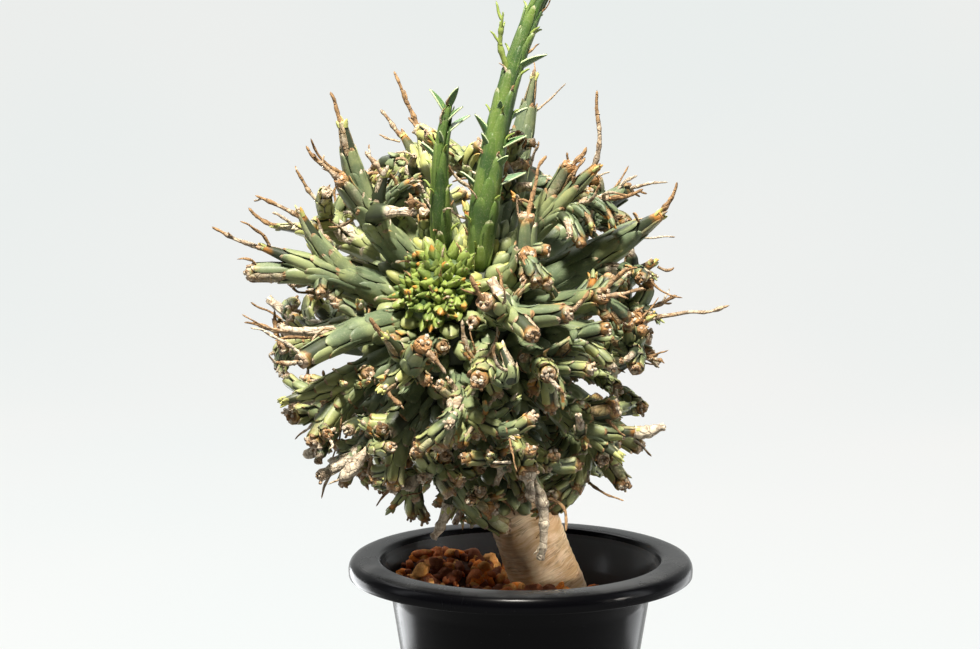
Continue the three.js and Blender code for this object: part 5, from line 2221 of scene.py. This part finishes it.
    def end_pegs(self, tip: Point, heading: Point, radius: float) -> Patch:
        """The scabby cluster or the youngest tubercles on its end.

        Args:
            tip: Its end.
            heading: Its direction there.
            radius: Its radius there.

        Returns:
            The patch.
        """
        count = {End.FRESH: 6, End.RUSTY: 6, End.STUB: 8, End.DEAD: 4}[self.end]
        scab = 1 if self.growing else self.zone.scab
        count = max(3, round(count * (0.65 if self.small else 1) * scab))
        side = square_to(heading)
        number = np.arange(count)
        draws = np.array([[self.draw() for _ in range(6)] for _ in range(count)]).T
        spread = np.sqrt((number + 0.6) / count)
        turn = (number * GOLDEN_ANGLE + draws[0])[:, None]
        across = side * np.cos(turn) + np.cross(heading, side) * np.sin(turn)
        if self.growing:
            base = tip + across * (spread * radius * 0.8)[:, None] - heading * (spread * 2.2)[:, None]
            lean = heading + across * (0.35 * spread)[:, None]
            length, thick = 2.0 + 2.4 * draws[1], 0.6 + 0.45 * draws[2]
            wear = 0.15 + 0.7 * (draws[3] > 0.7)
            rust = 0.25 * draws[4] + (0.6 * draws[5] if self.end is End.RUSTY else 0)
            young = (0.25 if self.small else 0.55) + 0.35 * draws[4]
        else:
            base = tip + across * (spread * radius * 0.75)[:, None] - heading * (0.6 + spread)[:, None]
            lean = heading + across * (0.9 * spread)[:, None] * draws[4][:, None]
            length = 1.0 + 1.9 * draws[1] * self.zone.scab
            thick = (0.6 + 0.65 * draws[2]) * min(1.0, 0.35 + radius / 4.5)
            wear = 0.75 + 0.4 * draws[3]
            rust = 0.6 * (draws[5] > 0.6) * draws[4]
            young = 0.3 * draws[4]
        lean /= np.linalg.norm(lean, axis=1)[:, None]
        bend = across * ((draws[5] - 0.4) * 1.2)[:, None]
        marks = {"wear": wear, "rust": rust, "young": young, "tone": 1.5 * draws[0] - 0.1}
        return peg_patch(base, lean, bend, length, thick, marks, pointed=self.growing)


@dataclass
class Crown:
    """The round crown: every stem with its forks, side shoots, pegs and dry stalks."""

    plan: CrownPlan = field(default_factory=CrownPlan)
    slimness: tuple[float, float] = (0.86, 0.7)
    side_shoots: int = 560
    tries: int = 4000
    least_room: float = 2.4
    footholds: int = 260
    collar: int = 300
    middle: Triple = (-21.4, -6.1, 193.4)
    half_size: Triple = (105.5, 86.0, 190.0)
    side_ends: tuple[End, ...] = (End.STUB,) * 6 + (End.RUSTY, End.FRESH, End.DEAD)
    seed: int = 4242

    def build(self, skin: Material) -> None:
        """Builds every stem in the place of its solid.

        Args:
            skin: The stems' finish.
        """
        self.draw = SeededDraw(self.seed)
        stems = self.plan.lay_out()
        patches = [
            [patch for arm in stem.arms for patch in self.arm(arm)]
            + [patch for arc in stem.stalks for patch in self.stalk(arc)]
            for stem in stems
        ]
        self.fill_gaps(stems, patches)
        for stem, grown in zip(stems, patches):
            piece = build_piece(f"crown_stem_{stem.number + 1:02d}", grown, skin, HEAD_CENTRE)
            hand_over(piece, Slot.STEM, f"stem_{stem.number + 1:02d}")

    def arm(self, arm: Arm) -> list[Patch]:
        """One arm and its thin dry twigs."""
        radii = (arm.radii[0] * self.slimness[0], arm.radii[1] * self.slimness[1])
        limb = Limb(arm.arc, radii, arm.head.end, zone_of(arm.head.tip), False, self.draw)
        return limb.patches() + self.twigs(arm)

    def fill_gaps(self, stems: Sequence[Stem], patches: list[list[Patch]]) -> None:
        """Grows short side shoots from the arms into the gaps of the crown.

        Args:
            stems: The stems.
            patches: The patches of each stem, which the shoots join.
        """
        others = np.array(self.plan.placed)
        feet, headings, owners, longest = self.find_footholds(stems)
        far = np.linalg.norm(feet, axis=1)
        grown = 0
        for heading, reach in self.find_targets():
            if grown >= self.side_shoots:
                break
            target = heading * reach
            from_apex = angle_between(heading, APEX_DIRECTION)
            from_trunk = angle_between(heading, TRUNK_DIRECTION)
            room = np.linalg.norm(others[:, :3] - target, axis=1) - others[:, 3]
            near = 25 if heading[2] < 0.3 else 33
            if from_apex < near or from_trunk < 15 or room.min() < self.least_room:
                continue
            step = target - feet
            length = np.linalg.norm(step, axis=1)
            lean = (step * headings).sum(axis=1) / length
            good = (length > 7) & (length < longest) & (lean > 0.25) & (far < size(target) - 4)
            for index in np.argsort(np.where(good, length - 6 * lean, 999))[:6]:
                if not good[index]:
                    break
                foot, run, owner = feet[index], float(length[index]), int(owners[index])
                middle = foot + headings[index] * (run * 0.3) + step[index] * 0.25
                arc = np.array([foot, middle, target])
                radius = self.draw.between(2.2, 3.1)
                shares = np.linspace(0.45, 1.0, max(3, int(run / 7)))
                balls = np.array([[*arc_point(arc, share), radius] for share in shares])
                if self.plan.gap_to(balls, owner, others) < -0.3:
                    continue
                end = self.side_ends[int(self.draw() * len(self.side_ends))]
                radii = (radius * (1.1 + 0.006 * run), radius)
                patches[owner] += Limb(arc, radii, end, zone_of(target), True, self.draw).patches()
                marked = np.full((len(balls), 1), owner)
                others = np.vstack([others, np.hstack([balls, marked])])
                grown += 1
                break
        log.info("%d side shoots", grown)

    def find_targets(self) -> list[tuple[Point, float]]:
        """Where side shoots may end: round the trunk first, then all over the crown.

        Returns:
            Direction and reach of each end.
        """
        targets = []
        axis = unit(TRUNK_DIRECTION)
        for number in range(self.collar):
            lean = math.radians(19 + 40 * ((number * 0.618) % 1))
            heading = axis * math.cos(lean) + around(axis, number * GOLDEN_ANGLE) * math.sin(lean)
            targets.append((heading, (94 - 14 * lean) * self.draw.between(0.72, 1.0)))
        for number in range(self.tries):
            heading = spread_spot((number * 617) % self.tries, self.tries)
            reach = self.plan.usual_reach(angle_between(heading, APEX_DIRECTION))
            targets.append((heading, reach * self.draw.between(0.82, 1.04)))
        return targets

    def find_footholds(self, stems: Sequence[Stem]) -> list[Array]:
        """The places on the arms and on the woody head that a side shoot can start from.

        Args:
            stems: The stems.

        Returns:
            The places, their directions, their stems and the longest shoot from each.
        """
        holds = [
            (arc_point(arm.arc, share), arc_direction(arm.arc, share), stem.number, 27)
            for stem in stems
            for arm in stem.arms
            for share in np.linspace(0.2, 0.95, 12)
        ]
        for number in range(self.footholds):
            spot = spread_spot(number, self.footholds)
            if angle_between(spot, APEX_DIRECTION) > 30:
                nearest = min(stems, key=lambda stem: angle_between(stem.root, spot))
                holds.append((spot * (CORE_RADIUS - 3), spot, nearest.number, 56))
        return [np.array(column) for column in zip(*holds)]

    def twigs(self, arm: Arm) -> list[Patch]:
        """The thin dry twigs of an arm.

        Args:
            arm: The arm.

        Returns:
            Their patches.
        """
        draw, patches = self.draw, []
        for _ in range(int(zone_of(arm.head.tip).twigs + draw())):
            share = draw.between(0.5, 1.0)
            heading = arc_direction(arm.arc, share)
            axis = unit(np.cross(heading, draw.direction()))
            outward = turn_about(heading, axis, math.radians(draw.between(35, 80)))
            length = draw.between(8, 24)
            start = arc_point(arm.arc, share) + outward * (radius_on_course(arm.radii, share) * 0.6)
            middle = start + outward * (length * 0.5)
            end = middle + unit(heading + draw.direction() * 0.9) * (length * 0.6)
            if np.all(np.abs(end + HEAD_CENTRE - self.middle) <= self.half_size):
                arc, thick = np.array([start, middle, end]), draw.between(0.5, 0.9)
                patches.append(twig_patch(arc, thick, draw.between(0.85, 1.1), 0.1, draw))
        return patches

    def stalk(self, arc: Array) -> list[Patch]:
        """One dry flower stalk with a side twig or two, thick and bleached if it hangs.

        Args:
            arc: The stalk's arc.

        Returns:
            Its patches.
        """
        draw = self.draw
        hangs = unit(arc[2])[2] < -0.35
        thick = draw.between(2.6, 3.1) if hangs else 1.15
        patches = [twig_patch(arc, thick, draw.between(0.9, 1.1), 0.1, draw, knots=5)]
        if hangs:
            patches[0].marks["tone"] = patches[0].marks["tone"] * 0.3 + 0.8
        for _ in range(2):
            if draw() < 0.55:
                share = draw.between(0.4, 0.95)
                start = arc_point(arc, share)
                outward = unit(arc_direction(arc, share) + draw.direction() * 0.9)
                length = draw.between(3, 8)
                side = np.array([start, start + outward * length * 0.5, start + outward * length])
                side[2] = side[2] + draw.direction() * length * 0.25
                patches.append(twig_patch(side, 0.6, 1.0, 0.1, draw, knots=1))
        return patches


# Studio


@dataclass(frozen=True)
class PaperFinish(Finish):
    """The backdrop's pale paper, which lights itself and throws little light on the plant."""

    cool: Colour = shade(236, 241, 240)
    warm: Colour = shade(243, 243, 241)
    thrown: Colour = shade(146, 146, 144)

    def dress(self, make: NodeMaker, shader: Node, effects: Effects) -> None:
        """Shows the camera and the glossy pot a paler paper than it throws light from."""
        clouds = make.step(make.noise(1.1, 2, 0.4), 0.3, 0.7)
        path = make.add("LightPath").outputs
        mirrored = make.times(path["Is Glossy Ray"], 0.8)
        seen = make.maths("MAXIMUM", path["Is Camera Ray"], mirrored)
        make.fill(
            shader,
            Base_Color=(0.055, 0.055, 0.055, 1.0),
            Roughness=0.9,
            Emission_Color=make.mix(seen, self.thrown, make.mix(clouds, self.cool, self.warm)),
            Emission_Strength=0.9,
        )


@dataclass
class Lamp:
    """One soft panel light."""

    name: str
    place: Triple
    aim: Triple
    size: tuple[float, float]
    power: float
    colour: Triple = (0.94, 0.97, 1.0)
    spread: float = 180
    mirrored_only: bool = False

    def build(self) -> None:
        """Hangs the lamp where the camera doesn't see it."""
        data = bpy.data.lights.new(self.name, "AREA")
        data.spread = math.radians(self.spread)
        data.shape = "RECTANGLE"
        data.size, data.size_y = self.size
        data.energy = self.power
        data.color = self.colour
        lamp = bpy.data.objects.new(self.name, data)
        lamp.location = self.place
        lamp.visible_camera = False
        lamp.visible_diffuse = not self.mirrored_only
        course = Vector(self.aim) - Vector(self.place)
        lamp.rotation_euler = course.to_track_quat("-Z", "Y").to_euler()
        bpy.context.scene.collection.objects.link(lamp)


MIDDLE = (0.0, 0.0, 0.22)
POT_BODY = (0.0, 0.0, 0.062)
TRUNK_FOOT = (0.01, 0.0, 0.128)
LAMPS = [
    Lamp("key", (-0.06, -0.6, 1.32), MIDDLE, (0.12, 0.12), 46.0, (1.0, 0.955, 0.87)),
    Lamp("left_fill", (-1.25, -0.1, 0.78), MIDDLE, (0.25, 1.1), 3.4),
    Lamp("right_fill", (1.2, -0.1, 0.6), MIDDLE, (0.2, 1.0), 3.8),
    Lamp("top_back", (-0.55, 0.65, 1.3), MIDDLE, (1.0, 0.7), 12.0, (1.0, 1.0, 1.0)),
    Lamp("low_fill", (0.8, -0.34, 0.28), TRUNK_FOOT, (0.1, 0.1), 0.027, (1.0, 0.95, 0.87), 9),
    Lamp("left_edge", (-0.21, 0.14, 0.062), POT_BODY, (0.15, 0.12), 0.42, (0.96, 0.98, 1.0), 180, True),
    Lamp("right_edge", (0.22, 0.13, 0.062), POT_BODY, (0.15, 0.12), 0.13, (0.96, 0.98, 1.0), 180, True),
]


@dataclass
class Studio:
    """The pale seamless floor, the soft lights and the camera."""

    floor_front: float = -2.2
    floor_depth: float = 1.1
    bend: float = 0.9
    bend_steps: int = 16
    height: float = 3.6
    half_width: float = 3.2
    camera_place: Triple = (-0.013313, -0.988996, 0.360392)
    camera_pitch: float = 7.3
    lens: float = 85
    dim: Colour = shade(62, 62, 60)
    bright: Colour = shade(252, 250, 244)
    walls: Colour = shade(238, 240, 239)

    def build(self, effects: Effects) -> None:
        """Sets the floor, the lights and the camera.

        Args:
            effects: The shared effects.
        """
        self.build_floor(PaperFinish("Pale paper").build(effects))
        self.build_world()
        for lamp in LAMPS:
            lamp.build()
        self.build_camera()

    def build_floor(self, paper: Material) -> None:
        """Builds the floor and the backdrop that curves up from it.

        Args:
            paper: Their finish.
        """
        outline = [(self.floor_front, 0.0), (0.0, 0.0), (self.floor_depth, 0.0)]
        for turn in np.linspace(0, math.pi / 2, self.bend_steps + 1)[1:]:
            back = self.floor_depth + self.bend * math.sin(turn)
            outline.append((back, self.bend * (1 - math.cos(turn))))
        outline.append((self.floor_depth + self.bend, self.height))
        sides = (-self.half_width, self.half_width)
        points = [(x, y, z) for y, z in outline for x in sides]
        faces = [(i, i + 1, i + 3, i + 2) for i in range(0, len(points) - 2, 2)]
        mesh = bpy.data.meshes.new("studio_floor")
        mesh.from_pydata(points, [], faces)
        mesh.shade_smooth()
        mesh.materials.append(paper)
        stage = bpy.data.objects.new("studio_floor", mesh)
        bpy.context.scene.collection.objects.link(stage)

    def build_world(self) -> None:
        """Sets the even light of the white room, dim in front of the plant, and its pale walls."""
        world = bpy.data.worlds.new("White room")
        bpy.context.scene.world = world
        world.use_nodes = True
        make, nodes = NodeMaker(world.node_tree), world.node_tree.nodes
        _, back, up = make.parts(make.add("TexCoord").outputs["Generated"])
        lit = make.maths("MAXIMUM", make.step(back, -0.5, 0.35), make.step(up, 0.25, 0.9))
        room = make.fill(nodes["Background"], Color=make.mix(lit, self.dim, self.bright), Strength=0.23)
        walls = make.fill(make.add("Background"), Color=self.walls)
        both = make.add("MixShader")
        make.put(both.inputs[0], make.add("LightPath").outputs["Is Camera Ray"])
        make.put(both.inputs[1], room.outputs[0])
        make.put(both.inputs[2], walls.outputs[0])
        make.fill(nodes["World Output"], Surface=both.outputs[0])

    def build_camera(self) -> None:
        """Sets the camera at the photograph's place and angle."""
        data = bpy.data.cameras.new("camera")
        data.lens = self.lens
        data.sensor_width = 36
        camera = bpy.data.objects.new("camera", data)
        camera.location = self.camera_place
        camera.rotation_euler = (math.radians(90 - self.camera_pitch), 0, 0)
        bpy.context.scene.collection.objects.link(camera)
        bpy.context.scene.camera = camera
        bpy.context.scene.view_settings.view_transform = "Standard"


def main() -> None:
    """Builds the finishes, every piece and the studio."""
    logging.basicConfig(level=logging.INFO, format="%(name)s: %(message)s")
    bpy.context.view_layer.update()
    effects = Effects().build()
    stem_skin = SkinFinish("Tubercled stem skin").build(effects)
    fresh_skin = SkinFinish(
        "Fresh growth",
        plain=shade(70, 98, 42),
        dusky=shade(52, 78, 36),
        young=shade(132, 148, 72),
        # Painted shade in the grooves of the fresh growth.
        groove_shade=shade(40, 58, 28),
        roughness=0.46,
    ).build(effects)
    leaf = LeafFinish("Narrow leaf").build(effects)
    bark = BarkFinish("Wrinkled pale bark").build(effects)
    pot = Pot()
    pot.build(PotFinish("Glossy black nursery plastic").build(effects))
    Gravel().build(GravelFinish("Coarse red gravel").build(effects), pot)
    Trunk().build(bark, stem_skin)
    GrowingPoint().build(fresh_skin)
    for shoot in (TALL_SHOOT, SHORT_SHOOT):
        shoot.build(fresh_skin, leaf)
    Crown().build(stem_skin)
    Studio().build(effects)


if __name__ == "__main__":
    main()
